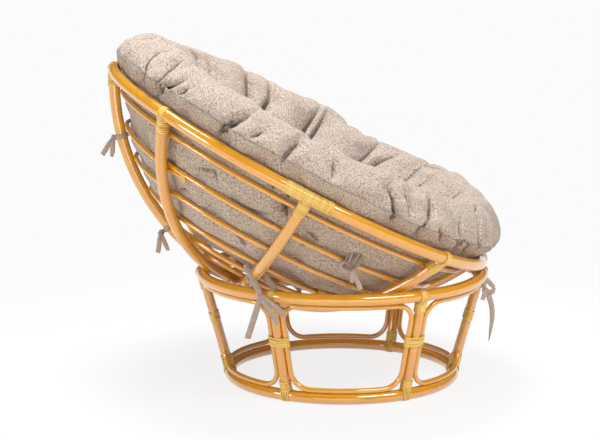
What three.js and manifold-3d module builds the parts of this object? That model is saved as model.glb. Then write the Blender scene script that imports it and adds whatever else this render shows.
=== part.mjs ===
// Round rattan bowl chair: a bowl of bent poles with a tufted cushion, laid at a tilt in a ring base.
// Millimetres, +Z up. The chair's low front faces +X, and the model stands centred on the origin.

import * as THREE from "three";
import { mergeVertices } from "three/addons/utils/BufferGeometryUtils.js";
import Module from "manifold-3d";

const wasm = await Module();
wasm.setup();

const degree = Math.PI / 180;
const fullTurn = 2 * Math.PI;

// Clearances
const seatGap = 0.3;
const endGap = 0.4;
const overrun = 6;

// Cane strip of the bindings
const caneThickness = 1.2;
const caneLayer = seatGap + caneThickness;

// Base: two rings, six leaning legs and a bent loop in each panel
const topRingRadius = 360;
const topRingHeight = 276;
const topRingPole = 14.7;
const bottomRingRadius = 288.5;
const bottomRingPole = 14.5;
const legCount = 6;
const legPole = 12.5;
const loopPole = 6.5;
const loopCornerRadius = 45;
const ringStrapWidth = 15;
const legCollarReach = 43;
const legBandHeight = 27;
const legBandRise = 140;

// Bowl: every rib lies on one sphere, so the bowl seats in the ring at any tilt
const rimRadius = 525;
const bowlDepth = 340.04;
const rimPole = 15;
const ribPole = 14;
const ribCount = 8;
const hoopPole = 6;
const hoopShares = [0.9156, 0.782, 0.65, 0.5087, 0.3796, 0.2505];
const hoopLapLength = 90;
const hoopLapTurns = [46.5, 228, 150, 310, 20, 200].map((angle) => angle * degree);
const hoopEase = 40 * degree;
const bowlTilt = 27.85 * degree;
const bowlTurn = 1.5 * degree;
const rimStrapWidth = 14;
const ribCollarReach = 46;
const crossLashingRadius = 44;

// Long winding round the rim at the near side rib
const windingRib = 6;
const windingTurns = 16;
const windingLength = 119;
const windingStripGap = 0.9;

// Cushion
const cushionFoldTurns = [
  1, 16, 29, 41, 52.5, 62, 75, 87, 98, 108, 119, 130, 141, 158, 172, 187, 201, 213, 225, 247, 260.5, 290, 302, 313, 329,
  345,
];
const cushionRollFoldDepth = 15;
const cushionSlopeFoldDepth = 30;
const cushionFoldReach = 17;
const cushionSlopeSwell = 10;
const cushionRingFoldDepth = 11;
const cushionRingFoldReach = 30;
const cushionCentreThickness = 112;
const cushionTuftInset = 270;
const cushionTuftRise = 62;
const cushionTuftTurns = [6, 36, 63, 88, 115, 149, 186, 221, 257, 295, 330];
const cushionTuftDepth = 26;
const cushionTuftReach = 46;
const cushionSlopeInset = 175;
const cushionSlopeRise = 42;
const cushionCrownInset = 77;
const cushionCrownRise = 138;
const cushionCrownLifts = [
  [0, 10],
  [20, 14],
  [33, 10],
  [46, -5],
  [60, -16],
  [90, -13],
  [125, -15],
  [141, -22],
  [160, -20],
  [178, -9],
  [200, 0],
  [270, 0],
  [340, 5],
  [360, 10],
];
const cushionShoulderReach = 5;
const cushionShoulderRise = 98;
const cushionWidestReach = 28;
const cushionWidestRise = 52;
const cushionLipRise = 26;
const cushionNeckInset = 32;
const cushionUnderLift = 68;
const cushionUnderFlatRadius = 150;

// Fabric ties: their places on the bowl, as a share of the rim's latitude or on a hoop, and shares of tieReach and tieTail along out, aside and down.
// Each strip bulges to bendShares of its way before it turns down.
const tieWidth = 13;
const tieThickness = 2;
const tieKnot = 9;
const tieReach = 22;
const tieTail = 60;
const bendShares = { out: 0.35, aside: 0.5, down: 0.33 };
const ties = [
  {
    name: "tie_back_high",
    pole: "rib",
    latitudeShare: 0.738,
    azimuth: 180 * degree,
    knotShares: [1.05, 0, 0.6],
    tailShares: [
      [0.5, -0.1, 0.7],
      [0.15, 0.15, 0.8],
    ],
  },
  {
    name: "tie_back_low",
    pole: "rib",
    latitudeShare: 0.3386,
    azimuth: 180 * degree,
    knotShares: [1.15, 0.1, 0.75],
    tailShares: [
      [0.1, -0.2, 0.85],
      [-0.1, 0.3, 0.75],
    ],
  },
  {
    name: "tie_side_hoop",
    pole: "hoop",
    hoopIndex: 1,
    azimuth: 292 * degree,
    knotShares: [0.6, 0.2, 0.9],
    tailShares: [
      [0.1, 0.25, 0.8],
      [0.15, -0.25, 0.4],
    ],
  },
  {
    name: "tie_side_rib",
    pole: "rib",
    latitudeShare: 0.448,
    azimuth: 270 * degree,
    knotShares: [1.15, 0.9, 2.5],
    tailShares: [
      [0.05, -0.55, 1.6],
      [0.2, 0.75, 1],
      [0.2, 0.95, 0.6],
    ],
  },
  {
    name: "tie_front",
    pole: "rim",
    latitudeShare: 1,
    azimuth: -4.5 * degree,
    knotShares: [1.2, 0.2, 3.5],
    tailShares: [
      [0.1, 0, 2.1],
      [-0.05, -0.3, 0.4],
      [0.3, 0.2, -0.1],
    ],
  },
];

// Facets
const topRingFacets = 54;
const bottomRingFacets = 48;
const rimFacets = 56;
const hoopFacets = 32;
const poleSides = 8;
const thinSides = 5;
const halfRibSteps = 12;
const windingSteps = 8;
const tieSteps = 3;
const cushionColumnTurn = 7;
const cushionRows = 16;

// Sizes that follow from those above
const bottomRingHeight = (bottomRingPole + caneLayer) * Math.cos(Math.PI / poleSides);
const ribSphereRadius = (rimRadius ** 2 + bowlDepth ** 2) / (2 * bowlDepth);
const rimSag = rimRadius * (1 - Math.cos(Math.PI / rimFacets));
const contactDistance = ribSphereRadius + ribPole + seatGap + caneLayer + topRingPole;
const sphereHeight = topRingHeight + Math.sqrt(contactDistance ** 2 - topRingRadius ** 2);
const contactLean = Math.asin(topRingRadius / contactDistance);
const rimDepth = ribSphereRadius - bowlDepth;
const rimLatitude = Math.acos(rimDepth / ribSphereRadius);
const hoopLatitudes = hoopShares.map((share) => share * rimLatitude);
const ribSag = ribSphereRadius * (1 - Math.cos(rimLatitude / halfRibSteps / 2));
const hoopSphereRadius = ribSphereRadius - ribPole - ribSag - seatGap - hoopPole;
const hoopSag = hoopSphereRadius * Math.sin(hoopLatitudes[0]) * (1 - Math.cos(Math.PI / hoopFacets));
const hoopInnerReach = hoopPole * Math.cos(Math.PI / thinSides);
const cushionTuftCircle = rimRadius - cushionTuftInset;
const windingInner = (rimPole + seatGap + rimSag) / Math.cos(Math.PI / windingSteps);
const slantLength = Math.hypot(topRingRadius - bottomRingRadius, topRingHeight - bottomRingHeight);
const slantSpread = (topRingRadius - bottomRingRadius) / slantLength;
const slantRise = (topRingHeight - bottomRingHeight) / slantLength;
const loopOffset = legPole + seatGap + loopPole;
const bowlPose = new THREE.Matrix4().makeRotationY(bowlTilt).multiply(
  new THREE.Matrix4().makeRotationZ(bowlTurn),
);
const flatDown = Math.PI / poleSides;
const facesBowl = Math.PI - contactLean;

const lacquer = { color: 0xcf8427, roughness: 0.28, metalness: 0 };
const cane = { color: 0xe0b04a, roughness: 0.45, metalness: 0 };
const cloth = { color: 0x9c8b80, roughness: 0.95, metalness: 0 };

// A path through stations, one extrusion step from each to the next
class StationPath extends THREE.Curve {
  constructor(stations) {
    super();
    this.stations = stations;
  }

  getPoint(share, target = new THREE.Vector3()) {
    const place = share * (this.stations.length - 1);
    const index = Math.min(Math.floor(place), this.stations.length - 2);
    return target.lerpVectors(this.stations[index], this.stations[index + 1], place - index);
  }

  getPointAt(share, target) {
    return this.getPoint(share, target);
  }

  getTangentAt(share, target) {
    return this.getTangent(share, target);
  }
}

function spread(count, start, end) {
  return Array.from({ length: count + 1 }, (_, index) => start + ((end - start) * index) / count);
}

// A pole's round section, with one corner at cornerAngle
function section(radius, sides, cornerAngle) {
  return Array.from({ length: sides }, (_, index) => {
    const angle = cornerAngle + (index * fullTurn) / sides;
    return new THREE.Vector2(radius * Math.cos(angle), radius * Math.sin(angle));
  });
}

function sweep(outline, stations) {
  const shape = outline instanceof THREE.Shape ? outline : new THREE.Shape(outline);
  const extrudePath = new StationPath(stations);
  return new THREE.ExtrudeGeometry(shape, { steps: stations.length - 1, extrudePath, bevelEnabled: false });
}

// A pole bent to a full circle about the Z axis
function ringPole(circleRadius, height, outline, facets) {
  const profile = outline.map((corner) => new THREE.Vector2(circleRadius - corner.y, height - corner.x));
  profile.reverse();
  profile.push(profile[0].clone());
  return new THREE.LatheGeometry(profile, facets).rotateX(Math.PI / 2);
}

function circleArc(circleRadius, height, from, to, steps) {
  return spread(steps, from, to).map(
    (angle) => new THREE.Vector3(circleRadius * Math.cos(angle), circleRadius * Math.sin(angle), height),
  );
}

// A meridian of the bowl in the XZ plane, with latitudes counted from the bowl's lowest point
function meridian(from, to, steps) {
  return spread(steps, from, to).map(
    (angle) => new THREE.Vector3(ribSphereRadius * Math.sin(angle), 0, -ribSphereRadius * Math.cos(angle)),
  );
}

function solid(geometry) {
  const bare = geometry.clone();
  bare.deleteAttribute("normal");
  bare.deleteAttribute("uv");
  const merged = mergeVertices(bare);
  const vertProperties = new Float32Array(merged.attributes.position.array);
  const triVerts = new Uint32Array(merged.index.array);
  return new wasm.Manifold(new wasm.Mesh({ numProp: 3, vertProperties, triVerts }));
}

function geometryOf(manifold) {
  const mesh = manifold.getMesh();
  const geometry = new THREE.BufferGeometry();
  geometry.setAttribute("position", new THREE.BufferAttribute(new Float32Array(mesh.vertProperties), 3));
  geometry.setIndex(new THREE.BufferAttribute(new Uint32Array(mesh.triVerts), 1));
  geometry.computeVertexNormals();
  return geometry;
}

function join(geometries) {
  return geometries.map(solid).reduce((whole, piece) => whole.add(piece));
}

function cutBy(geometry, cutters) {
  return geometryOf(cutters.map(solid).reduce((whole, cutter) => whole.subtract(cutter), solid(geometry)));
}

function shell(outers, inners) {
  return geometryOf(inners.map(solid).reduce((whole, inner) => whole.subtract(inner), join(outers)));
}

function piece(name, geometry, look) {
  const mesh = new THREE.Mesh(geometry, new THREE.MeshStandardMaterial(look));
  mesh.name = name;
  return mesh;
}

// Base

function topRing(growth = 0) {
  const outline = section(topRingPole + growth, poleSides, facesBowl);
  return ringPole(topRingRadius, topRingHeight, outline, topRingFacets);
}

function bottomRing(growth = 0) {
  const outline = section(bottomRingPole + growth, poleSides, flatDown);
  return ringPole(bottomRingRadius, bottomRingHeight, outline, bottomRingFacets);
}

// A point on the cone through both rings, beside a leg that stands in the XZ plane
function besideLeg(slant, side) {
  const radius = bottomRingRadius + slant * slantSpread;
  return new THREE.Vector3(Math.sqrt(radius ** 2 - side ** 2), side, bottomRingHeight + slant * slantRise);
}

function legPiece(from, to, growth) {
  return sweep(section(legPole + growth, poleSides, 0), [besideLeg(from, 0), besideLeg(to, 0)]);
}

function leg() {
  return cutBy(legPiece(0, slantLength, 0), [topRing(seatGap), bottomRing(seatGap)]);
}

// One side of a panel's loop, from the middle of its bottom run round to the middle of its top run
function halfLoop() {
  const low = bottomRingPole + seatGap + loopPole;
  const high = slantLength - topRingPole - seatGap - loopPole;
  const inner = loopOffset + loopCornerRadius;
  const run = (slant, from, to) => {
    const radius = bottomRingRadius + slant * slantSpread;
    return spread(2, from(radius), to(radius)).map((angle) => besideLeg(slant, radius * Math.sin(angle)));
  };
  const corner = (slant, from) =>
    spread(3, from, from + Math.PI / 2).map((angle) =>
      besideLeg(slant + loopCornerRadius * Math.sin(angle), inner + loopCornerRadius * Math.cos(angle)),
    );
  const middle = Math.PI / legCount;
  const bottomRun = run(low, (radius) => middle - endGap / 2 / radius, (radius) => Math.asin(inner / radius));
  const topRun = run(high, () => middle, (radius) => Math.asin(inner / radius));
  const lowCorner = corner(low + loopCornerRadius, Math.PI).reverse();
  const highCorner = corner(high - loopCornerRadius, Math.PI / 2).reverse();
  return [...bottomRun.slice(0, -1), ...lowCorner, ...highCorner, ...topRun.reverse().slice(1)];
}

function panelLoop() {
  const axis = new THREE.Vector3(0, 0, 1);
  const middle = Math.PI / legCount;
  const near = halfLoop().map((point) => point.applyAxisAngle(axis, -middle));
  const far = near.map((point) => new THREE.Vector3(point.x, -point.y, point.z)).reverse();
  return sweep(section(loopPole, thinSides, 0), [...near, ...far.slice(1)]);
}

// Cane strap over a ring with a collar on the leg that meets it
function ringBinding(ring, circleRadius, height, pole, cornerAngle, collarFrom, collarTo) {
  const half = ringStrapWidth / 2 / circleRadius;
  const strap = sweep(
    section(pole + caneLayer, poleSides, cornerAngle),
    circleArc(circleRadius, height, -half, half, 1),
  );
  const collar = legPiece(collarFrom, collarTo, caneLayer);
  return shell([strap, collar], [ring(seatGap), legPiece(-overrun, slantLength + overrun, seatGap)]);
}

function legTopBinding() {
  const start = slantLength - legCollarReach;
  return ringBinding(topRing, topRingRadius, topRingHeight, topRingPole, facesBowl, start, slantLength);
}

function legFootBinding() {
  const end = legCollarReach;
  return ringBinding(bottomRing, bottomRingRadius, bottomRingHeight, bottomRingPole, flatDown, 0, end);
}

// The outline of a strip pulled tight round a leg and the two loops beside it
function beltOutline(growth) {
  const lean = Math.acos((legPole - loopPole) / loopOffset);
  const arc = (centre, reach, from, to, steps) => {
    const radius = reach / Math.cos((to - from) / steps / 2);
    return spread(steps, from, to).map(
      (angle) => new THREE.Vector2(centre + radius * Math.cos(angle), radius * Math.sin(angle)),
    );
  };
  const coneSag = loopOffset ** 2 / 2 / bottomRingRadius;
  const loopReach = loopPole + coneSag + growth;
  const legReach = legPole + coneSag + growth;
  return [
    ...arc(loopOffset, loopReach, -lean, lean, 3),
    ...arc(0, legReach, lean, Math.PI - lean, 1),
    ...arc(-loopOffset, loopReach, Math.PI - lean, Math.PI + lean, 3),
    ...arc(0, legReach, Math.PI + lean, fullTurn - lean, 1),
  ];
}

function legBand() {
  const belt = new THREE.Shape(beltOutline(caneLayer));
  belt.holes.push(new THREE.Path(beltOutline(seatGap)));
  return sweep(belt, [besideLeg(legBandRise, 0), besideLeg(legBandRise + legBandHeight, 0)]);
}

function buildBase() {
  const base = new THREE.Group();
  base.add(piece("base_top_ring", topRing(), lacquer));
  base.add(piece("base_bottom_ring", bottomRing(), lacquer));
  const repeated = [
    ["leg", leg(), lacquer, 0],
    ["panel_loop", panelLoop(), lacquer, 0.5],
    ["binding_leg_top", legTopBinding(), cane, 0],
    ["binding_leg_middle", legBand(), cane, 0],
    ["binding_leg_foot", legFootBinding(), cane, 0],
  ];
  for (const [name, geometry, look, stepShare] of repeated) {
    for (let index = 0; index < legCount; index += 1) {
      const copy = piece(`${name}_${index + 1}`, geometry, look);
      copy.rotation.z = ((index + stepShare) * fullTurn) / legCount;
      base.add(copy);
    }
  }
  return base;
}

// Bowl, in its own frame: the sphere's centre at the origin and the lowest point on -Z

function rim(growth = 0) {
  return ringPole(rimRadius, -rimDepth, section(rimPole + growth, poleSides, flatDown), rimFacets);
}

function ribAlong(from, to, steps, growth) {
  return sweep(section(ribPole + growth, poleSides, Math.PI / 2), meridian(from, to, steps));
}

function fullRib(growth) {
  return ribAlong(-rimLatitude, rimLatitude, 2 * halfRibSteps, growth);
}

// The box that one of two crossing ribs loses, for the half-lap at the bowl's lowest point
function lapNotch(side) {
  const reach = ribPole + seatGap;
  const height = ribPole + overrun;
  const notch = new THREE.BoxGeometry(2 * reach, 2 * reach, height);
  return notch.translate(0, 0, -ribSphereRadius + side * (height / 2 - seatGap / 2));
}

function diagonalRib() {
  const rib = ribAlong(0, rimLatitude, halfRibSteps, 0);
  const eighth = fullTurn / ribCount;
  const across = [eighth, -eighth].map((turn) => fullRib(seatGap).rotateZ(turn));
  return cutBy(rib, [rim(seatGap), ...across]);
}

// A thin pole bent to a circle inside the ribs, its two ends lapped side by side
function hoop(index, growth = 0) {
  const latitude = hoopLatitudes[index];
  const lapTurn = hoopLapTurns[index];
  const lapAngle = hoopLapLength / (hoopSphereRadius * Math.sin(latitude));
  const lapShift = (2 * hoopPole + endGap) / hoopSphereRadius;
  const start = lapTurn - lapAngle / 2;
  const end = lapTurn + fullTurn + lapAngle / 2;
  const leastStep = fullTurn / hoopFacets / 3;
  const between = spread(2 * hoopFacets, 0, 2 * fullTurn).filter(
    (angle) => angle > start + leastStep && angle < end - leastStep,
  );
  const stations = [start, ...between, end].map((angle) => {
    const share = THREE.MathUtils.smoothstep(angle, end - lapAngle - hoopEase, end - lapAngle);
    const slope = latitude - lapShift * share;
    const radius = hoopSphereRadius * Math.sin(slope);
    return new THREE.Vector3(
      radius * Math.cos(angle),
      radius * Math.sin(angle),
      -hoopSphereRadius * Math.cos(slope),
    );
  });
  return sweep(section(hoopPole + growth, thinSides, -latitude), stations);
}

// Cane strap over the rim with a collar on the rib below it
function rimBinding(collarReach) {
  const half = rimStrapWidth / 2 / rimRadius;
  const strap = sweep(
    section(rimPole + caneLayer, poleSides, flatDown),
    circleArc(rimRadius, -rimDepth, -half, half, 1),
  );
  const outers = [strap];
  if (collarReach > 0) {
    const collarEnd = rimLatitude - collarReach / ribSphereRadius;
    outers.push(ribAlong(collarEnd, rimLatitude, 1, caneLayer));
  }
  const ribCore = ribAlong(rimLatitude / 2, rimLatitude, halfRibSteps / 2, seatGap);
  return shell(outers, [rim(seatGap), ribCore]);
}

// A closed tube through four-cornered rings, whose corners turn right-handed about its direction
function tubeThrough(rings) {
  const corners = rings.flat();
  const indices = [];
  for (let start = 0; start < corners.length - 4; start += 4) {
    for (let corner = 0; corner < 4; corner += 1) {
      const a = start + corner;
      const b = start + ((corner + 1) % 4);
      indices.push(a, b, b + 4, a, b + 4, a + 4);
    }
  }
  const last = corners.length - 4;
  indices.push(0, 2, 1, 0, 3, 2);
  indices.push(last, last + 1, last + 2, last, last + 2, last + 3);
  const geometry = new THREE.BufferGeometry().setFromPoints(corners);
  geometry.setIndex(indices);
  geometry.computeVertexNormals();
  return geometry;
}

// One unbroken flat strip wound along the rim
function rimWinding() {
  const stripWidth = windingLength / windingTurns - windingStripGap;
  const radius = windingInner + caneThickness / 2;
  const cornerShares = [
    [-0.5, -0.5],
    [-0.5, 0.5],
    [0.5, 0.5],
    [0.5, -0.5],
  ];
  const rings = spread(windingTurns * windingSteps, 0, 1).map((share) => {
    const angle = share * windingTurns * fullTurn;
    const travel = (share - 0.5) * (windingLength - stripWidth);
    return cornerShares.map(([widthShare, depthShare]) => {
      const reach = radius + depthShare * caneThickness;
      const around = (travel + widthShare * stripWidth) / rimRadius;
      const circle = rimRadius + reach * Math.cos(angle);
      return new THREE.Vector3(
        circle * Math.cos(around),
        circle * Math.sin(around),
        -rimDepth + reach * Math.sin(angle),
      );
    });
  });
  const pitch = (windingLength - stripWidth) / windingTurns;
  console.log(`winding: least gap between turns ${(pitch - stripWidth).toFixed(2)} mm`);
  return tubeThrough(rings);
}

// A thick sleeve of the winding's length along the rim, which cuts back what comes up to the winding
function windingSleeve(radius) {
  const half = windingLength / 2 / rimRadius;
  return sweep(section(radius, windingSteps, 0), circleArc(rimRadius, -rimDepth, -half, half, 4));
}

// The winding with a collar on the rib below it, whose top edge is tucked among the turns
function woundRimBinding() {
  const collarEnd = rimLatitude - ribCollarReach / ribSphereRadius;
  const ribCore = ribAlong(rimLatitude / 2, rimLatitude, halfRibSteps / 2, seatGap);
  const sleeve = windingSleeve(windingInner + caneThickness / 2);
  const collar = shell([ribAlong(collarEnd, rimLatitude, 1, caneLayer)], [ribCore, sleeve]);
  return geometryOf(join([rimWinding(), collar]));
}

// Cane lashed round and between the ribs where they all meet
function crossLashing() {
  const height = 2 * (ribPole + caneLayer);
  const disc = new THREE.CylinderGeometry(crossLashingRadius, crossLashingRadius, height, 2 * ribCount);
  disc.rotateX(Math.PI / 2).translate(0, 0, -ribSphereRadius);
  const eighth = fullTurn / ribCount;
  const cores = spread(ribCount / 2 - 1, 0, Math.PI - eighth).map((turn) => fullRib(seatGap).rotateZ(turn));
  return shell([disc], cores);
}

// The cushion's profile from the middle of its top, over the roll at the rim, to the middle of its underside
function cushionProfile() {
  const under = hoopSphereRadius - hoopInnerReach - hoopSag - seatGap;
  const onSphere = (latitude) =>
    new THREE.Vector2(under * Math.sin(latitude), rimDepth - under * Math.cos(latitude));
  const underDrop = bowlDepth - cushionUnderLift;
  const centreDrop = underDrop - cushionCentreThickness;
  const outline = [
    new THREE.Vector2(0, -centreDrop),
    new THREE.Vector2(cushionTuftCircle / 2, -centreDrop),
    new THREE.Vector2(cushionTuftCircle, cushionTuftRise - centreDrop),
    new THREE.Vector2(rimRadius - cushionSlopeInset, cushionSlopeRise),
    new THREE.Vector2(rimRadius - cushionCrownInset, cushionCrownRise),
    new THREE.Vector2(rimRadius + cushionShoulderReach, cushionShoulderRise),
    new THREE.Vector2(rimRadius + cushionWidestReach, cushionWidestRise),
    new THREE.Vector2(rimRadius, cushionLipRise),
    new THREE.Vector2(rimRadius - cushionNeckInset, 0),
    onSphere(hoopLatitudes[0]),
    onSphere(hoopLatitudes[1]),
    onSphere(hoopLatitudes[2]),
    onSphere(hoopLatitudes[3]),
    new THREE.Vector2(cushionUnderFlatRadius, -underDrop),
    new THREE.Vector2(0, -underDrop),
  ];
  return new THREE.SplineCurve(outline);
}

// The way from one turn to another, the shorter way round
function turnBetween(from, to) {
  return THREE.MathUtils.euclideanModulo(to - from + Math.PI, fullTurn) - Math.PI;
}

// How far the cloth is drawn in at a place. Each fold crosses the roll at its own turn and leans to the nearest tuft.
function cushionDraw(angle, radius) {
  const crownRadius = rimRadius - cushionCrownInset;
  const slopeShare = THREE.MathUtils.clamp((radius - cushionTuftCircle) / (crownRadius - cushionTuftCircle), 0, 1);
  const tuftTurns = cushionTuftTurns.map((turn) => THREE.MathUtils.degToRad(turn));
  let fold = 0;
  for (const turn of cushionFoldTurns.map((degrees) => THREE.MathUtils.degToRad(degrees))) {
    const offTufts = tuftTurns.map((tuftTurn) => Math.abs(turnBetween(tuftTurn, turn)));
    const nearest = tuftTurns[offTufts.indexOf(Math.min(...offTufts))];
    const foldTurn = nearest + turnBetween(nearest, turn) * slopeShare;
    const distance = (Math.abs(turnBetween(foldTurn, angle)) * radius) / cushionFoldReach;
    fold = Math.max(fold, Math.exp(-(distance ** 2)));
  }
  const beyondTufts = THREE.MathUtils.smoothstep(radius, cushionTuftCircle / 2, cushionTuftCircle);
  const foldDepth = THREE.MathUtils.lerp(cushionSlopeFoldDepth, cushionRollFoldDepth, slopeShare ** 2) * beyondTufts;
  const ringFold = Math.exp(-(((radius - cushionTuftCircle) / cushionRingFoldReach) ** 2));
  const tuftDistances = tuftTurns.map((turn) =>
    Math.hypot(turnBetween(turn, angle) * radius, radius - cushionTuftCircle),
  );
  const tuftDistance = Math.min(radius, ...tuftDistances) / cushionTuftReach;
  return (
    foldDepth * fold +
    cushionRingFoldDepth * ringFold +
    cushionTuftDepth * Math.exp(-(tuftDistance ** 2)) -
    cushionSlopeSwell * Math.sin(Math.PI * slopeShare)
  );
}

// The crown of the roll stands higher at the low front of the bowl, where the cushion slides down, and sinks at the far side
function crownLift(angle, rise) {
  const degrees = THREE.MathUtils.radToDeg(THREE.MathUtils.euclideanModulo(angle, fullTurn));
  const index = cushionCrownLifts.findIndex(([turn]) => turn > degrees);
  const [turnBefore, liftBefore] = cushionCrownLifts[index - 1];
  const [turnAfter, liftAfter] = cushionCrownLifts[index];
  const share = (degrees - turnBefore) / (turnAfter - turnBefore);
  return THREE.MathUtils.lerp(liftBefore, liftAfter, share) * THREE.MathUtils.smoothstep(rise, cushionLipRise, cushionCrownRise);
}

// One column at each fold and at least one between it and the next
function cushionColumnTurns() {
  return cushionFoldTurns.flatMap((turn, index) => {
    const next = index + 1 < cushionFoldTurns.length ? cushionFoldTurns[index + 1] : cushionFoldTurns[0] + 360;
    const steps = Math.max(2, Math.round((next - turn) / cushionColumnTurn));
    return spread(steps + 1, turn, next)
      .slice(0, -1)
      .map((degrees) => THREE.MathUtils.degToRad(degrees));
  });
}

function cushion() {
  const profile = cushionProfile();
  const columnTurns = cushionColumnTurns();
  const columns = columnTurns.length;
  const rows = spread(cushionRows + 1, 0, 1).map((share) => ({
    point: profile.getPoint(share),
    tangent: profile.getTangent(share),
    upper: share < 0.5,
  }));
  const first = rows[0];
  const last = rows[rows.length - 1];
  const positions = [0, 0, first.point.y - rimDepth - cushionTuftDepth];
  for (const { point, tangent, upper } of rows.slice(1, -1)) {
    for (const angle of columnTurns) {
      const draw = upper ? cushionDraw(angle, point.x) : 0;
      const lift = upper ? crownLift(angle, point.y) : 0;
      const radius = point.x + tangent.y * draw;
      const rise = point.y - tangent.x * draw + lift;
      positions.push(radius * Math.cos(angle), radius * Math.sin(angle), rise - rimDepth);
    }
  }
  positions.push(0, 0, last.point.y - rimDepth);
  const at = (row, column) => 1 + row * columns + (column % columns);
  const end = positions.length / 3 - 1;
  const indices = [];
  for (let column = 0; column < columns; column += 1) {
    indices.push(0, at(0, column), at(0, column + 1));
    for (let row = 0; row < cushionRows - 1; row += 1) {
      indices.push(at(row, column), at(row + 1, column), at(row + 1, column + 1));
      indices.push(at(row, column), at(row + 1, column + 1), at(row, column + 1));
    }
    indices.push(end, at(cushionRows - 1, column + 1), at(cushionRows - 1, column));
  }
  const geometry = new THREE.BufferGeometry();
  geometry.setAttribute("position", new THREE.Float32BufferAttribute(positions, 3));
  geometry.setIndex(indices);
  geometry.computeVertexNormals();
  return geometry;
}

// The fabric band of a tie, before its pole is taken out of it
function tieBand({ pole, azimuth }, latitude) {
  const growth = seatGap + tieThickness;
  if (pole === "rib") {
    const half = tieWidth / 2 / ribSphereRadius;
    return ribAlong(latitude - half, latitude + half, 1, growth).rotateZ(azimuth);
  }
  const onRim = pole === "rim";
  const sphere = onRim ? ribSphereRadius : hoopSphereRadius;
  const outline = onRim
    ? section(rimPole + growth, poleSides, flatDown)
    : section(hoopPole + growth, thinSides, -latitude);
  const circle = sphere * Math.sin(latitude);
  const half = tieWidth / 2 / circle;
  return sweep(outline, circleArc(circle, -sphere * Math.cos(latitude), azimuth - half, azimuth + half, 1));
}

// The pole that a tie goes round, with its clearance
function tieCore({ pole, hoopIndex, azimuth }) {
  if (pole === "rib") {
    return fullRib(seatGap).rotateZ(azimuth);
  }
  return pole === "rim" ? rim(seatGap) : hoop(hoopIndex, seatGap);
}

// A flat fabric strip along a curve, its width lying along across
function fabricStrip(curve, across) {
  const rings = spread(tieSteps, 0, 1).map((share) => {
    const centre = curve.getPoint(share);
    const tangent = curve.getTangent(share);
    const side = across.clone().addScaledVector(tangent, -across.dot(tangent)).normalize();
    const normal = tangent.clone().cross(side);
    const corner = (widthSign, depthSign) =>
      centre
        .clone()
        .addScaledVector(side, (widthSign * tieWidth) / 2)
        .addScaledVector(normal, (depthSign * tieThickness) / 2);
    return [corner(-1, -1), corner(1, -1), corner(1, 1), corner(-1, 1)];
  });
  return tubeThrough(rings);
}

// A fabric tie: a band round its pole, a knot beside the pole and tails that hang from the knot
function fabricTie(tie) {
  const toBowl = bowlPose.clone().invert();
  const onHoop = tie.pole === "hoop";
  const latitude = onHoop ? hoopLatitudes[tie.hoopIndex] : tie.latitudeShare * rimLatitude;
  const sphere = onHoop ? hoopSphereRadius : ribSphereRadius;
  const anchor = new THREE.Vector3(sphere * Math.sin(latitude), 0, -sphere * Math.cos(latitude));
  anchor.applyAxisAngle(new THREE.Vector3(0, 0, 1), tie.azimuth);
  const out = anchor.clone().applyMatrix4(bowlPose).setZ(0).normalize();
  const aside = new THREE.Vector3(-out.y, out.x, 0);
  const place = (start, length, [outShare, asideShare, downShare]) =>
    new THREE.Vector3(0, 0, -length * downShare)
      .addScaledVector(out, length * outShare)
      .addScaledVector(aside, length * asideShare)
      .applyMatrix4(toBowl)
      .add(start);
  const across = aside.clone().applyMatrix4(toBowl);
  const knot = place(anchor, tieReach, tie.knotShares);
  const [outShare, asideShare, downShare] = tie.knotShares;
  const overShares = [outShare + bendShares.out, asideShare * bendShares.aside, downShare * bendShares.down];
  const over = place(anchor, tieReach, overShares);
  const pieces = [
    tieBand(tie, latitude),
    new THREE.SphereGeometry(tieKnot, 6, 4).translate(knot.x, knot.y, knot.z),
    fabricStrip(new THREE.QuadraticBezierCurve3(anchor, over, knot), across),
  ];
  for (const shares of tie.tailShares) {
    const bend = place(knot, tieTail, [shares[0], shares[1], shares[2] * bendShares.down]);
    const tip = place(knot, tieTail, shares);
    pieces.push(fabricStrip(new THREE.QuadraticBezierCurve3(knot, bend, tip), across));
  }
  return shell(pieces, [tieCore(tie)]);
}

function buildBowl() {
  const bowl = new THREE.Group();
  bowl.add(piece("rim", rim(), lacquer));
  bowl.add(piece("rib_front_back", cutBy(fullRib(0), [rim(seatGap), lapNotch(1)]), lacquer));
  const sideRib = fullRib(0).rotateZ(fullTurn / 4);
  const windingRoom = windingSleeve(windingInner + caneThickness + seatGap);
  windingRoom.rotateZ((windingRib * fullTurn) / ribCount);
  bowl.add(piece("rib_side_side", cutBy(sideRib, [rim(seatGap), windingRoom, lapNotch(-1)]), lacquer));
  for (let index = 0; index < ribCount / 2; index += 1) {
    const rib = piece(`rib_diagonal_${index + 1}`, diagonalRib(), lacquer);
    rib.rotation.z = ((2 * index + 1) * fullTurn) / ribCount;
    bowl.add(rib);
  }
  for (let index = 0; index < hoopLatitudes.length; index += 1) {
    bowl.add(piece(`hoop_${index + 1}`, hoop(index), lacquer));
  }
  for (let index = 0; index < ribCount; index += 1) {
    const collarReach = index === 0 ? 0 : ribCollarReach;
    const geometry = index === windingRib ? woundRimBinding() : rimBinding(collarReach);
    const binding = piece(`binding_rim_${index + 1}`, geometry, cane);
    binding.rotation.z = (index * fullTurn) / ribCount;
    bowl.add(binding);
  }
  bowl.add(piece("binding_bowl_bottom", crossLashing(), cane));
  bowl.add(piece("cushion", cushion(), cloth));
  for (const tie of ties) {
    bowl.add(piece(tie.name, fabricTie(tie), cloth));
  }
  bowl.quaternion.setFromRotationMatrix(bowlPose);
  bowl.position.z = sphereHeight;
  return bowl;
}

const chair = new THREE.Group();
chair.add(buildBase());
chair.add(buildBowl());

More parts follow.
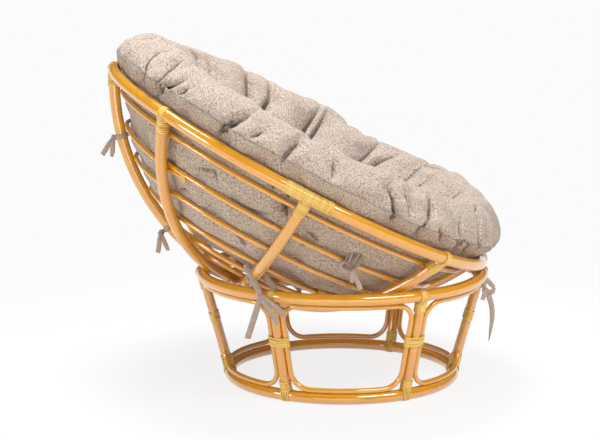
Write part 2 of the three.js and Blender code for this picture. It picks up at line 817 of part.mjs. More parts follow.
const bounds = new THREE.Box3().setFromObject(chair, true);
const middle = bounds.getCenter(new THREE.Vector3());
chair.position.set(-middle.x, -middle.y, -bounds.min.z);
console.log(`tilt axis at x ${(-middle.x).toFixed(3)}, z ${(sphereHeight - bounds.min.z).toFixed(3)}`);

export default chair;
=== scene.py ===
# Round rattan bowl chair: bent poles, cane windings, a tufted cushion and its fabric ties.
# Lengths are metres, and angles are degrees in the tables below and radians inside the functions,
# unless a note says otherwise. The chair's low front faces +X.
import random
from math import acos, asin, copysign, cos, exp, pi, radians, sin, sqrt

import bpy
import numpy as np
from mathutils import Matrix, Vector, noise


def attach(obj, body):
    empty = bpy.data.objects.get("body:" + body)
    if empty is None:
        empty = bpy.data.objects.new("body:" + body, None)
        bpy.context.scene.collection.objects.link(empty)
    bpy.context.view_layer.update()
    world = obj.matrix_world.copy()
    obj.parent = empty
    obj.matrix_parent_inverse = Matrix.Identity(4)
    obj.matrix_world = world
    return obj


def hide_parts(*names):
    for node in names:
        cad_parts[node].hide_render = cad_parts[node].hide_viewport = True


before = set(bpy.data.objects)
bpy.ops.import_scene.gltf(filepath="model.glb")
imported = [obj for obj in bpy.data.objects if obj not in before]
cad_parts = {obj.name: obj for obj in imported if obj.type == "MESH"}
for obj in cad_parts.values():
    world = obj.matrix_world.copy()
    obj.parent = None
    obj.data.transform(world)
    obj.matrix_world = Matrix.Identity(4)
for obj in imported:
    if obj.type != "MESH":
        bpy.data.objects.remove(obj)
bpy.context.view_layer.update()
print("stage: frame loaded", flush=True)

view = {"place": (-0.095748, -4.53651, 1.17863), "target": (-0.004908, 0, 0.40881), "lens": 107.85}

base = {
    "centre": 0.102945,
    "topRadius": 0.360,
    "topHeight": 0.276,
    "topPole": 0.0147,
    "footRadius": 0.2885,
    "footHeight": 0.01478,
    "footPole": 0.0145,
    "legs": 6,
    "legPole": 0.0125,
    "loopPole": 0.0065,
    "loopOffset": 0.0193,
    "loopCorner": 0.045,
    "bite": 0.8,
}

bowl = {
    "centre": (0.102945, 0, 0.763235),
    "tilt": 27.85,
    "turn": 1.5,
    "sphere": 0.5753,
    "rimRadius": 0.525,
    "rimPole": 0.015,
    "ribPole": 0.014,
    "ribs": 8,
    "ribShort": 0.008,
    "ribStart": 0.034,
    "hoopSphere": 0.55434,
    "hoopPole": 0.006,
    "hoopShares": [0.9156, 0.782, 0.65, 0.5087, 0.3796, 0.2505],
    "lapTurns": [46.5, 228, 150, 310, 20, 200],
    "mendedTurn": 304,
    "lapLength": 0.09,
    "lapEase": 40,
    "lapShift": 0.0124,
}


def aboutZ(turn):
    return Matrix.Rotation(radians(turn), 4, "Z")


rimDepth = sqrt(bowl["sphere"] ** 2 - bowl["rimRadius"] ** 2)
rimLatitude = asin(bowl["rimRadius"] / bowl["sphere"])
slant = Vector((base["topRadius"] - base["footRadius"], 0, base["topHeight"] - base["footHeight"]))
slantLength = slant.length
slantUp = slant.normalized()
slantOut = Vector((slantUp.z, 0, -slantUp.x))
sideways = Vector((0, 1, 0))
bowlTilt = Matrix.Rotation(radians(bowl["tilt"]), 4, "Y")
bowlPlace = Matrix.Translation(bowl["centre"]) @ bowlTilt @ aboutZ(bowl["turn"])
places = {"base": Matrix.Translation((base["centre"], 0, 0)), "bowl": bowlPlace}
hoopLatitudes = [share * rimLatitude for share in bowl["hoopShares"]]


def polar(radius, azimuth, height=0):
    return Vector((radius * cos(azimuth), radius * sin(azimuth), height))


def onSphere(radius, latitude, azimuth=0):
    return polar(radius * sin(latitude), azimuth, -radius * cos(latitude))


def link(piece):
    bpy.context.collection.objects.link(piece)
    return piece


def pickOnly(piece):
    bpy.ops.object.select_all(action="DESELECT")
    piece.select_set(True)
    bpy.context.view_layer.objects.active = piece


def spread(start, end, steps):
    return [start + (end - start) * step / steps for step in range(steps + 1)]


def smooth(low, high, value):
    share = min(max((value - low) / (high - low), 0), 1)
    return share * share * (3 - 2 * share)


def evenly(points, step):
    # the same line with points about step apart
    lengths = [0]
    for before, after in zip(points, points[1:]):
        lengths.append(lengths[-1] + (after - before).length)
    count = max(2, round(lengths[-1] / step))
    spaced = []
    index = 0
    for part in range(count + 1):
        goal = lengths[-1] * part / count
        while index < len(points) - 2 and lengths[index + 1] < goal:
            index += 1
        share = (goal - lengths[index]) / max(lengths[index + 1] - lengths[index], 1e-9)
        spaced.append(points[index].lerp(points[index + 1], share))
    return spaced


class Wire:  # an output socket, so that shader maths can be written as expressions
    def __init__(self, tree, socket):
        self.tree = tree
        self.socket = socket

    def maths(self, operation, other=None, swap=False):
        made = self.tree.nodes.new("ShaderNodeMath")
        made.operation = operation
        values = [other, self] if swap else [self, other]
        for slot, value in zip(made.inputs, values):
            if isinstance(value, Wire):
                self.tree.links.new(value.socket, slot)
            elif value is not None:
                slot.default_value = value
        return Wire(self.tree, made.outputs[0])

    __add__ = __radd__ = lambda self, other: self.maths("ADD", other)
    __sub__ = lambda self, other: self.maths("SUBTRACT", other)
    __rsub__ = lambda self, other: self.maths("SUBTRACT", other, swap=True)
    __mul__ = lambda self, other: self.maths("MULTIPLY", other)
    __truediv__ = lambda self, other: self.maths("DIVIDE", other)
    __pow__ = lambda self, other: self.maths("POWER", other)


class Nodes:  # a node tree; add() makes a node from its settings and the values or links of its sockets
    def __init__(self, tree):
        self.tree = tree
        tree.nodes.clear()

    def add(self, kind, settings=None, output=0, **values):
        made = self.tree.nodes.new("ShaderNode" + kind)
        for key, value in (settings or {}).items():
            setattr(made, key, value)
        for key, value in values.items():
            numbered = key[0] == "i" and key[1:].isdigit()
            slot = made.inputs[int(key[1:])] if numbered else made.inputs[key.replace("_", " ")]
            if isinstance(value, Wire):
                self.tree.links.new(value.socket, slot)
            else:
                slot.default_value = (*value, 1) if slot.type == "RGBA" else value
        return Wire(self.tree, made.outputs[output]) if len(made.outputs) else None

    def split(self, wire):
        node = self.add("SeparateXYZ", i0=wire).socket.node
        return [Wire(self.tree, socket) for socket in node.outputs]

    def uv(self):
        return self.split(self.add("UVMap", {"uv_map": "UVMap"}))[:2]

    def rays(self):
        # rays that meet the camera directly or by a mirror, and the mirrored ones alone
        sockets = self.add("LightPath").socket.node.outputs
        glossy = Wire(self.tree, sockets["Is Glossy Ray"])
        return Wire(self.tree, sockets["Is Camera Ray"]).maths("MAXIMUM", glossy), glossy

    def noise(self, place, scale, detail=2, rough=0.5):
        x, y, z = place
        vector = self.add("CombineXYZ", X=x, Y=y, Z=z)
        return self.add("TexNoise", Vector=vector, Scale=scale, Detail=detail, Roughness=rough)

    def fade(self, value, low, high):
        return self.add("MapRange", {"interpolation_type": "SMOOTHSTEP"}, Value=value, i1=low, i2=high)

    def ramp(self, value, stops):
        made = self.add("ValToRGB", Fac=value)
        elements = made.socket.node.color_ramp.elements
        while len(elements) < len(stops):
            elements.new(0.5)
        for element, (place, colour) in zip(elements, stops):
            element.position = place
            element.color = (*colour, 1)
        return made

    def mix(self, share, first, second, blend="MIX"):
        settings = {"data_type": "RGBA", "blend_type": blend}
        return self.add("Mix", settings, output=2, i0=share, i6=first, i7=second)

    def bump(self, height, strength, distance):
        return self.add("Bump", Height=height, Strength=strength, Distance=distance)


class Finish(Nodes):  # the node tree of one material
    def __init__(self, name):
        self.material = bpy.data.materials.new(name)
        self.material.use_nodes = True
        super().__init__(self.material.node_tree)

    def surface(self, **values):
        self.add("OutputMaterial", Surface=self.add("BsdfPrincipled", **values))
        return self.material


lacquer = {
    "honey": (0.90, 0.53, 0.012),
    "amber": (0.79, 0.35, 0.002),
    "brown": (0.47, 0.145, 0.002),
    "joint": (0.16, 0.045, 0.008),
    "jointStep": 0.31,
}


def lacquerFinish():
    # varnished rattan: long grain, slow changes from honey to amber, and a faint line at each growth joint
    made = Finish("rattanLacquer")
    turn, along = made.uv()
    around = turn * (2 * pi)
    ringX = around.maths("COSINE")
    ringY = around.maths("SINE")
    grain = made.noise((ringX * 2.6, ringY * 2.6, along * 5), 3.2, 3, 0.6)
    fibre = made.noise((ringX * 9, ringY * 9, along * 9), 4, 2, 0.6)
    slow = made.noise((ringX * 0.25, ringY * 0.25, along * 2.2), 2, 1)
    waver = made.noise((ringX, ringY, along * 3), 1.5, 1)
    step = along / lacquer["jointStep"] + waver * 0.02
    offJoint = (step.maths("FRACT") - 0.5).maths("ABSOLUTE") * lacquer["jointStep"]
    line = 1 - made.fade(offJoint, 0.0004, 0.0016)
    halo = 1 - made.fade(offJoint, 0, 0.014)
    tone = grain * 0.5 + slow * 0.6 + fibre * 0.14
    brown, amber, honey = lacquer["brown"], lacquer["amber"], lacquer["honey"]
    body = made.ramp(tone, [(0.36, brown), (0.50, amber), (0.68, amber), (0.84, honey)])
    body = made.mix(halo * 0.22, body, brown)
    body = made.mix(line * 0.55, body, lacquer["joint"])
    return made.surface(
        Base_Color=body,
        Roughness=0.30 + fibre * 0.12,
        Normal=made.bump(fibre * 0.5 + grain * 0.5 - line * 0.7, 0.12, 0.001),
        Coat_Weight=1.0,
        Coat_Roughness=0.06,
        Coat_IOR=2.15,
        IOR=1.4,
    )


cane = {"pale": (1.0, 0.78, 0.27), "gold": (0.93, 0.61, 0.11), "shade": (0.50, 0.24, 0.03)}


def caneFinish():
    # peeled cane: fine fibres along each strip, painted shade at its edges where the turns meet, its tone
    # drifting from turn to turn
    made = Finish("caneBinding")
    across, along = made.uv()
    fibre = made.noise((across * 6, along * 14, 0.0), 3, 2, 0.6)
    drift = made.noise((across * 0.4, along * 9, 3.0), 2.4, 2)
    # painted shade: each strip darkens towards both edges, in the grooves between turns
    edgeShade = ((across - 0.5).maths("ABSOLUTE") * 2) ** 3.5
    stops = [(0.32, cane["shade"]), (0.46, cane["gold"]), (0.62, cane["pale"]), (0.8, cane["pale"])]
    body = made.ramp(drift * 0.7 + fibre * 0.3, stops)
    return made.surface(
        Base_Color=made.mix(edgeShade * 0.85, body, cane["shade"]),
        Roughness=0.36 + fibre * 0.14,
        Normal=made.bump(fibre, 0.2, 0.0006),
        Coat_Weight=0.5,
        Coat_Roughness=0.15,
        IOR=1.5,
    )


melange = {
    "pale": (0.86, 0.76, 0.65),
    "light": (0.65, 0.54, 0.45),
    "mid": (0.40, 0.31, 0.26),
    "dark": (0.10, 0.075, 0.075),
    "straw": (0.62, 0.44, 0.20),
    "slate": (0.30, 0.29, 0.38),
    "creaseShade": (0.04, 0.028, 0.024),
    "stops": (("dark", 0.35), ("mid", 0.44), ("light", 0.52), ("pale", 0.62)),
    "yarn": 0.0021,
}


def clothFinish(name, tint):
    # coarse plain weave of yarns spun from light, dark, straw and slate fibres, with painted shade between
    # the yarns and in the folds, seam and tufts
    made = Finish(name)
    u, v = made.uv()
    sway = made.noise((u, v, 0.0), 18, 1) * 0.0012
    yarns = [((way + sway) * (pi / melange["yarn"])).maths("SINE") for way in (u, v)]
    over = yarns[0] * yarns[1]
    warpTop = made.fade(over, -0.25, 0.25)
    warpTone = made.noise((u * 430, v * 120, 1.0), 1, 1, 0.5)
    weftTone = made.noise((u * 120, v * 430, 7.0), 1, 1, 0.5)
    tone = warpTone * warpTop + weftTone * (1 - warpTop)
    broad = made.noise((u, v, 2.0), 14, 3)
    stops = [(place, melange[shade]) for shade, place in melange["stops"]]
    body = made.ramp(tone + (broad - 0.5) * 0.12, stops)
    for key, height, low in (("straw", 4.0, 0.56), ("slate", 11.0, 0.57)):
        speck = made.noise((u * 240, v * 240, height), 1, 1, 0.5)
        body = made.mix(made.fade(speck, low, low + 0.08) * 0.6, body, melange[key])
    # painted shade in the gaps between the yarns
    yarnGapShade = 1 - (over.maths("ABSOLUTE") * 1.6).maths("MINIMUM", 1)
    body = made.mix(yarnGapShade * 0.45, body, melange["dark"])
    body = made.mix(1.0, body, tint, "MULTIPLY")
    # painted shade: the cloth darkens to the near-black colour in the folds, along the seam and round the
    # tufts
    fold = made.add("Attribute", {"attribute_name": "fold"}, output=2)
    return made.surface(
        Base_Color=made.mix(fold * 0.8, body, melange["creaseShade"]),
        Roughness=0.93,
        Normal=made.bump(over.maths("ABSOLUTE") + tone * 0.6, 0.35, 0.0014),
        Sheen_Weight=0.15,
        Sheen_Roughness=0.6,
        Sheen_Tint=(0.85, 0.78, 0.72),
        IOR=1.45,
    )


rattan = lacquerFinish()
binding = caneFinish()
cushionCloth = clothFinish("cushionCloth", (1.0, 1.0, 1.0))
tieCloth = clothFinish("tieCloth", (1.0, 0.99, 1.0))
print("stage: finishes", flush=True)


def fit(piece, body, finish, *nodes, turn=0):
    # moves a piece, made about its body's own axis, to its place, gives it its material, hangs it under its
    # body, and hides the CAD parts it stands for
    if turn is not None:
        piece.data.transform(places[body] @ aboutZ(turn))
        piece.data.update()
    piece.data.materials.clear()
    piece.data.materials.append(finish)
    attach(piece, body)
    if nodes:
        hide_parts(*nodes)


poleForm = {"joint": 0.022, "jointReach": 0.007, "uneven": 0.008, "waves": 9}


def bentPole(name, node, body, points, radius, turn=0, closed=False, sides=4, step=0.007):
    # a pole bent along points, a little thicker at its growth joints
    rnd = random.Random(name)
    line = evenly(points + points[:1] if closed else points, step)
    if closed:
        line = line[:-1]
    length = sum((b - a).length for a, b in zip(line, line[1:]))
    length += (line[0] - line[-1]).length if closed else 0
    curve = bpy.data.curves.new(name, "CURVE")
    curve.dimensions = "3D"
    curve.bevel_depth = radius
    curve.bevel_resolution = sides
    curve.use_fill_caps = not closed
    run = curve.splines.new("POLY")
    run.points.add(len(line) - 1)
    run.use_cyclic_u = closed
    start = rnd.uniform(0, 5)
    waver = rnd.uniform(0, 50)
    for index, point in enumerate(line):
        along = length * index / (len(line) if closed else len(line) - 1)
        offJoint = abs((along + start) / lacquer["jointStep"] % 1 - 0.5) * lacquer["jointStep"]
        swell = poleForm["joint"] * exp(-((offJoint / poleForm["jointReach"]) ** 2))
        uneven = poleForm["uneven"] * noise.noise(Vector((along * poleForm["waves"], waver, 0)))
        run.points[index].co = (*point, 1)
        run.points[index].radius = 1 + swell + uneven
    pickOnly(link(bpy.data.objects.new(name, curve)))
    bpy.ops.object.convert(target="MESH")
    piece = bpy.context.object
    for loop in piece.data.uv_layers[0].data:
        loop.uv = (loop.uv.x, loop.uv.y * length + start)
    pickOnly(piece)
    bpy.ops.object.shade_smooth_by_angle(angle=radians(50))
    fit(piece, body, rattan, node, turn=turn)


def copyOf(piece, name):
    twin = piece.copy()
    twin.data = piece.data.copy()
    twin.name = name
    return link(twin)


def ringLine(radius, height):
    return [polar(radius, radians(turn), height) for turn in spread(0, 360, 240)[:-1]]


def besideLeg(climb, side):
    radius = base["footRadius"] + climb * slantUp.x
    return Vector((sqrt(radius * radius - side * side), side, base["footHeight"] + climb * slantUp.z))


def loopLine():
    # half of a panel's loop, from the middle of its bottom run to the middle of its top run
    corner = base["loopCorner"]
    inner = base["loopOffset"] + corner
    low = base["footPole"] + 0.0003 + base["loopPole"]
    high = slantLength - base["topPole"] - 0.0003 - base["loopPole"]
    middle = pi / base["legs"]

    def run(climb, first):
        radius = base["footRadius"] + climb * slantUp.x
        last = asin(inner / radius)
        return [besideLeg(climb, radius * sin(turn)) for turn in spread(first(radius), last, 12)]

    def bend(climb, start):
        turns = [radians(turn) for turn in spread(start, start + 90, 10)]
        return [besideLeg(climb + corner * sin(turn), inner + corner * cos(turn)) for turn in turns]

    bottom = run(low, lambda radius: middle - 0.0002 / radius)
    top = run(high, lambda radius: middle)
    lowBend = bend(low + corner, 180)[::-1]
    highBend = bend(high - corner, 90)[::-1]
    return bottom[:-1] + lowBend + highBend + top[::-1][1:]


def buildBasePoles():
    for name, node, place in (("topRing", "base_top_ring", "top"), ("footRing", "base_bottom_ring", "foot")):
        ring = ringLine(base[place + "Radius"], base[place + "Height"])
        bentPole(name, node, "base", ring, base[place + "Pole"], closed=True)
    near = [aboutZ(-180 / base["legs"]) @ point for point in loopLine()]
    loop = near + [Vector((point.x, -point.y, point.z)) for point in near][-2::-1]
    foot = base["footPole"] * base["bite"]
    top = slantLength - base["topPole"] * base["bite"]
    leg = [besideLeg(foot, 0), besideLeg(top, 0)]
    for index in range(base["legs"]):
        number = index + 1
        turn = 360 * index / base["legs"]
        bentPole(f"leg{number}", f"leg_{number}", "base", leg, base["legPole"], turn)
        turn += 180 / base["legs"]
        bentPole(f"panelLoop{number}", f"panel_loop_{number}", "base", loop, base["loopPole"], turn, sides=3)


def hoopLine(index):
    # a ring whose two ends pass each other side by side over the lap
    sphere, latitude = bowl["hoopSphere"], hoopLatitudes[index]
    lapTurn = radians(bowl["lapTurns"][index])
    lapAngle = bowl["lapLength"] / (sphere * sin(latitude))
    end = lapTurn + 2 * pi + lapAngle / 2
    points = []
    for turn in spread(lapTurn - lapAngle / 2, end, 300):
        share = smooth(end - lapAngle - radians(bowl["lapEase"]), end - lapAngle, turn)
        points.append(onSphere(sphere, latitude - bowl["lapShift"] / sphere * share, turn))
    return points


def buildBowlPoles():
    sphere = bowl["sphere"]
    bentPole("rim", "rim", "bowl", ringLine(bowl["rimRadius"], -rimDepth), bowl["rimPole"], closed=True)
    reach = rimLatitude - bowl["ribShort"] / sphere
    whole = [onSphere(sphere, latitude) for latitude in spread(-reach, reach, 160)]
    for name, node, turn in (("ribFrontBack", "rib_front_back", 0), ("ribSideSide", "rib_side_side", 90)):
        bentPole(name, node, "bowl", whole, bowl["ribPole"], turn)
    part = [onSphere(sphere, latitude) for latitude in spread(bowl["ribStart"] / sphere, reach, 80)]
    for number in range(1, bowl["ribs"] // 2 + 1):
        name, node = f"ribDiagonal{number}", f"rib_diagonal_{number}"
        bentPole(name, node, "bowl", part, bowl["ribPole"], 90 * number - 45)
    for number in range(1, len(hoopLatitudes) + 1):
        name, node = f"hoop{number}", f"hoop_{number}"
        bentPole(name, node, "bowl", hoopLine(number - 1), bowl["hoopPole"], sides=3, step=0.01)


wraps = {
    "thick": 0.0011,
    "strand": 0.0034,
    "strandPitch": 0.0044,
    "pitch": 0.0043,
    "fineStrand": 0.00245,
    "finePitch": 0.00264,
    "strapSlant": 0.0034,
    "strapSides": (-1.5, -0.5, 0.5, 1.5),
    "beltTurns": 6,
    "beltRise": 0.1372,
    "beltPitch": 0.0044,
    "beltStrand": 0.0041,
    "legStart": 0.0170,
    "legReach": 0.043,
    "ribStart": 0.020,
    "ribReach": 0.046,
    "pressed": 0.0016,
    "woundTurns": 45,
    "woundHalf": 0.0595,
    "woundStart": 0.0165,
    "woundReach": 0.054,
    "lashRings": 6,
    "lashRadius": 0.0215,
    "lashPitch": 0.0039,
    "lashRise": 0.0152,
    "lashStrand": 0.0036,
    "frontHalf": 0.007,
    "frontPitch": 0.0035,
    "frontStrand": 0.0033,
    "lapStrand": 0.0025,
    "lapThick": 0.0009,
    "lapApart": 0.035,
    "lapPitch": 0.0029,
}
stripProfile = [(-0.5, 0), (-0.44, 0.62), (-0.2, 1), (0.2, 1), (0.44, 0.62), (0.5, 0)]


def meshPiece(name, points, faces, uvs):
    # an object with its UV map and its faces turned outward
    mesh = bpy.data.meshes.new(name)
    mesh.from_pydata(points, [], faces)
    layer = mesh.uv_layers.new(name="UVMap")
    layer.data.foreach_set("uv", [value for uv in uvs for value in uv])
    mesh.validate()
    piece = link(bpy.data.objects.new(name, mesh))
    pickOnly(piece)
    bpy.ops.object.mode_set(mode="EDIT")
    bpy.ops.mesh.select_all(action="SELECT")
    bpy.ops.mesh.normals_make_consistent(inside=False)
    bpy.ops.object.mode_set(mode="OBJECT")
    return piece


def layStrips(name, runs, width, thickness=wraps["thick"]):
    # flat strips along runs of (place, outward) or (place, outward, share of the width), in one mesh
    rnd = random.Random(name)
    points, faces, uvs = [], [], []
    sides = len(stripProfile)
    for run in runs:
        first = len(points)
        along = rnd.uniform(0, 40)
        marks = []
        for index, (place, outward, *wide) in enumerate(run):
            share = width * wide[0] if wide else width
            travel = (run[min(index + 1, len(run) - 1)][0] - run[max(index - 1, 0)][0]).normalized()
            side = travel.cross(outward).normalized()
            up = side.cross(travel).normalized()
            if index:
                along += (place - run[index - 1][0]).length
            marks.append(along)
            points += [place + side * (x * share) + up * (y * thickness) for x, y in stripProfile]
        for step in range(len(run) - 1):
            start, end = marks[step], marks[step + 1]
            for side in range(sides):
                after = (side + 1) % sides
                a = first + step * sides + side
                b = first + step * sides + after
                faces.append((a, a + sides, b + sides, b))
                near = stripProfile[side][0] + 0.5
                far = stripProfile[after][0] + 0.5
                uvs += [(near, start), (near, end), (far, end), (far, start)]
        last = len(points) - sides
        faces.append(tuple(range(first, first + sides)))
        faces.append(tuple(range(len(points) - 1, last - 1, -1)))
        uvs += [(0.5, marks[0])] * sides + [(0.5, marks[-1])] * sides
    piece = meshPiece(name, points, faces, uvs)
    bpy.ops.object.shade_smooth_by_angle(angle=radians(48))
    return piece


def strapRuns(centre, down, out, ringPole, pole, reach, curve=0):
    # strands over a ring, crossing each other, that run down both sides of the pole under its collar
    runs = []
    low = spread(reach, 0, 12)
    turns = spread(0, 180, 14)[1:-1]
    total = 2 * len(low) + len(turns)
    for layer, slantSign in ((0, 1), (1, -1)):
        lift = layer * wraps["thick"] * 0.8
        for strand in wraps["strapSides"]:
            line = []
            for step in range(total):
                slanted = slantSign * wraps["strapSlant"] * cos(pi * (step / (total - 1)))
                aside = strand * wraps["strandPitch"] + slanted
                if len(low) <= step < total - len(low):
                    turn = radians(turns[step - len(low)])
                    normal = out * cos(turn) - down * sin(turn)
                    line.append((centre + normal * (ringPole + lift) + sideways * aside, normal))
                    continue
                side = 1 if step < len(low) else -1
                depth = low[min(step, total - 1 - step)]
                settled = smooth(0, 0.02, depth)
                lean = asin(max(-0.95, min(0.95, aside / pole))) * settled
                hug = ringPole + (pole - ringPole) * settled
                normal = (out * side * cos(lean) + sideways * sin(lean)).normalized()
                spot = centre + down * depth - out * (curve * depth * depth)
                spot += out * side * hug * cos(lean) + sideways * aside
                line.append((spot + normal * lift, normal))
            runs.append(line)
    return runs


def outlineArc(radius, start, end, steps, middle=0):
    return [(middle + radius * cos(turn), radius * sin(turn), turn) for turn in spread(start, end, steps)]


def circle(radius, steps=18):
    return outlineArc(radius, 0, 2 * pi, steps)[:-1]


def coil(outline, turns, frameAt):
    # a strip wound round an outline of (across, out, angle), while frameAt(share) moves it along a pole
    line = []
    count = turns * len(outline)
    for step in range(count + 1):
        x, y, angle = outline[step % len(outline)]
        centre, across, out = frameAt(step / count)
        line.append((centre + across * x + out * y, across * cos(angle) + out * sin(angle)))
    return line


def collarRun(centre, down, out, pole, start, reach, pitch, curve=0, along=sideways):
    # one strip wound round a pole, from start to reach along it
    def frameAt(share):
        depth = start + (reach - start) * share
        return centre + down * depth - out * (curve * depth * depth), out, along

    return coil(circle(pole), round((reach - start) / pitch), frameAt)


def jointRuns(centre, down, out, ringPole, pole, start, reach, curve=0):
    # straps over a ring, and the collar over their ends
    runs = strapRuns(centre, down, out, ringPole, pole, reach - 0.002, curve)
    over = pole + wraps["thick"] * 1.2
    return runs + [collarRun(centre, down, out, over, start, reach, wraps["pitch"], curve)]


def beltRun():
    # one strip wound round a leg and the loops at both its sides
    leg, loop, offset = base["legPole"] + 0.0004, base["loopPole"] + 0.0010, base["loopOffset"]
    lean = acos((leg - loop) / offset)
    outline = outlineArc(loop, -lean, lean, 8, offset) + outlineArc(leg, lean, pi - lean, 3)
    outline += outlineArc(loop, pi - lean, pi + lean, 8, -offset)
    outline += outlineArc(leg, pi + lean, 2 * pi - lean, 3)
    turns = wraps["beltTurns"]

    def frameAt(share):
        return besideLeg(wraps["beltRise"] + wraps["beltPitch"] * turns * share, 0), sideways, slantOut

    return coil(outline, turns, frameAt)


def buildBaseWindings():
    made = {}
    for stem, place, down in (("legTopWinding", "top", -slantUp), ("legFootWinding", "foot", slantUp)):
        centre = Vector((base[place + "Radius"], 0, base[place + "Height"]))
        ends = (wraps["legStart"], wraps["legReach"])
        runs = jointRuns(centre, down, slantOut, base[place + "Pole"], base["legPole"], *ends)
        made[stem] = layStrips(stem + "1", runs, wraps["strand"])
    made["legMiddleWinding"] = layStrips("legMiddleWinding1", [beltRun()], wraps["beltStrand"])
    # the chair stands on the straps under the ring, so they are pressed flat on the floor
    straps = made["legFootWinding"].data.vertices
    lowest = min(vertex.co.z for vertex in straps)
    for vertex in straps:
        if vertex.co.z < wraps["pressed"]:
            share = (vertex.co.z - lowest) / (wraps["pressed"] - lowest)
            vertex.co.z = 0.0001 + share * (wraps["pressed"] - 0.0001)
    for (stem, first), node in zip(made.items(), ("leg_top", "leg_foot", "leg_middle")):
        twins = [first] + [copyOf(first, f"{stem}{index + 1}") for index in range(1, base["legs"])]
        for index, twin in enumerate(twins):
            turn = 360 * index / base["legs"]
            fit(twin, "base", binding, f"binding_{node}_{index + 1}", turn=turn)


def rimCoil():
    # the long fine winding along the rim at the near side rib
    def frameAt(share):
        turn = (share - 0.5) * 2 * wraps["woundHalf"] / bowl["rimRadius"]
        return polar(bowl["rimRadius"], turn, -rimDepth), polar(1, turn), Vector((0, 0, 1))

    return coil(circle(bowl["rimPole"] + 0.0002, 16), wraps["woundTurns"], frameAt)


def buildRimWindings():
    centre = Vector((bowl["rimRadius"], 0, -rimDepth))
    down = Vector((-cos(rimLatitude), 0, -sin(rimLatitude)))
    out = Vector((sin(rimLatitude), 0, -cos(rimLatitude)))
    rim, rib, curve = bowl["rimPole"], bowl["ribPole"], 0.5 / bowl["sphere"]
    for index in range(bowl["ribs"]):
        width = wraps["strand"]
        if index == 0:  # the low front has a few turns round the rim alone
            ahead, up = Vector((1, 0, 0)), Vector((0, 0, 1))
            half = wraps["frontHalf"]
            runs = [collarRun(centre, sideways, ahead, rim, -half, half, wraps["frontPitch"], along=up)]
            width = wraps["frontStrand"]
        elif index == 6:  # the near side rib has a long winding along the rim and a collar of its own
            ends = (wraps["woundStart"], wraps["woundReach"], wraps["finePitch"])
            runs = [rimCoil(), collarRun(centre, down, out, rib + 0.0002, *ends, curve)]
            width = wraps["fineStrand"]
        else:
            runs = jointRuns(centre, down, out, rim, rib, wraps["ribStart"], wraps["ribReach"], curve)
        piece = layStrips(f"rimWinding{index + 1}", runs, width)
        fit(piece, "bowl", binding, f"binding_rim_{index + 1}", turn=45 * index)


def buildBottomLashing():
    # strips woven over and under the eight ribs where they meet
    runs = []
    for ring in range(wraps["lashRings"]):
        line = []
        for angle in spread(0, 2 * pi, 96):
            radius = wraps["lashRadius"] + wraps["lashPitch"] * (ring + angle / (2 * pi))
            wave = cos(4 * angle) * (1 if ring % 2 else -1)
            height = wraps["lashRise"] * copysign(abs(wave) ** 0.6, wave)
            line.append((polar(radius, angle, height - bowl["sphere"]), Vector((0, 0, 1))))
        runs.append(line)
    fit(layStrips("bottomLashing", runs, wraps["lashStrand"]), "bowl", binding, "binding_bowl_bottom")


def hoopWinding(index, azimuth, outline, lowered, turns=5):
    # cane wound round the outline of one hoop, or of the two poles of its lap
    sphere, latitude = bowl["hoopSphere"], hoopLatitudes[index]

    def frameAt(share):
        place = azimuth + (share - 0.5) * turns * wraps["lapPitch"] / (sphere * sin(latitude))
        centre = onSphere(sphere, latitude - lowered / sphere, place)
        return centre, onSphere(1, latitude + pi / 2, place), onSphere(1, latitude, place)

    return coil(outline, turns, frameAt)


def buildLapWindings():
    # two short windings over each hoop's lap, and one over a mended place of the third hoop
    runs = []
    half = bowl["lapShift"] / 2
    pole = bowl["hoopPole"] + 0.0003
    doubled = outlineArc(pole, -pi / 2, pi / 2, 8, half) + outlineArc(pole, pi / 2, 1.5 * pi, 8, -half)
    for index, latitude in enumerate(hoopLatitudes):
        aside = wraps["lapApart"] / (bowl["hoopSphere"] * sin(latitude))
        for side in (-1, 1):
            azimuth = radians(bowl["lapTurns"][index]) + side * aside
            runs.append(hoopWinding(index, azimuth, doubled, half))
    runs.append(hoopWinding(2, radians(bowl["mendedTurn"]), circle(pole, 14), 0, turns=6))
    fit(layStrips("hoopLapWindings", runs, wraps["lapStrand"], wraps["lapThick"]), "bowl", binding)


buildBasePoles()
buildBowlPoles()
print("stage: poles", flush=True)
buildBaseWindings()
buildRimWindings()
buildBottomLashing()
buildLapWindings()
print("stage: cane windings", flush=True)


cushion = {
    "topRadii": [0, 0.1275, 0.255, 0.350, 0.448, 0.530, 0.553, 0.525, 0.493],
    "topHeights": [-0.160, -0.160, -0.098, 0.042, 0.138, 0.098, 0.052, 0.026, 0],
    "underSphere": 0.54869,
    "underRows": (60.3, 51.5, 42.8, 33.5),
    "underBulge": 0.006,
    "underLumps": 0.018,
    "flatUnder": (0.150, -0.272),
    "columns": 400,
    "rowStep": 0.0092,
    "underStep": 0.0115,
    "seam": 0.7265,
    "tufts": [6, 36, 63, 88, 115, 149, 186, 221, 257, 295, 330],
    "tuftArc": 0.2712,
    "tuftDepth": 0.030,
    "topLumps": 0.009,
    "slack": 0.010,
    "frontPull": 0.012,
    # the roll's crown stands higher or lower than the section by these millimetres at these azimuths
    "crownTurns": [0, 20, 33, 46, 60, 90, 125, 141, 160, 178, 200, 225, 285, 308, 335, 360],
    "crownLifts": [10, 14, 10, -5, -16, -13, -15, -22, -20, -9, -2, -8, -10, -6, 2, 10],
    "rollFolds": [1, 16, 29, 41, 52.5, 62, 75, 87, 98, 108, 119, 130, 141, 158, 172, 187, 329, 345],
    "frames": 20,
    "cap": 0.024,
}
clothSettings = {
    "quality": 4,
    "mass": 0.3,
    "tension_stiffness": 12,
    "compression_stiffness": 12,
    "shear_stiffness": 4,
    "bending_stiffness": 0.4,
    "use_pressure": True,
    "uniform_pressure_force": 4,
    "shrink_min": -0.05,
}

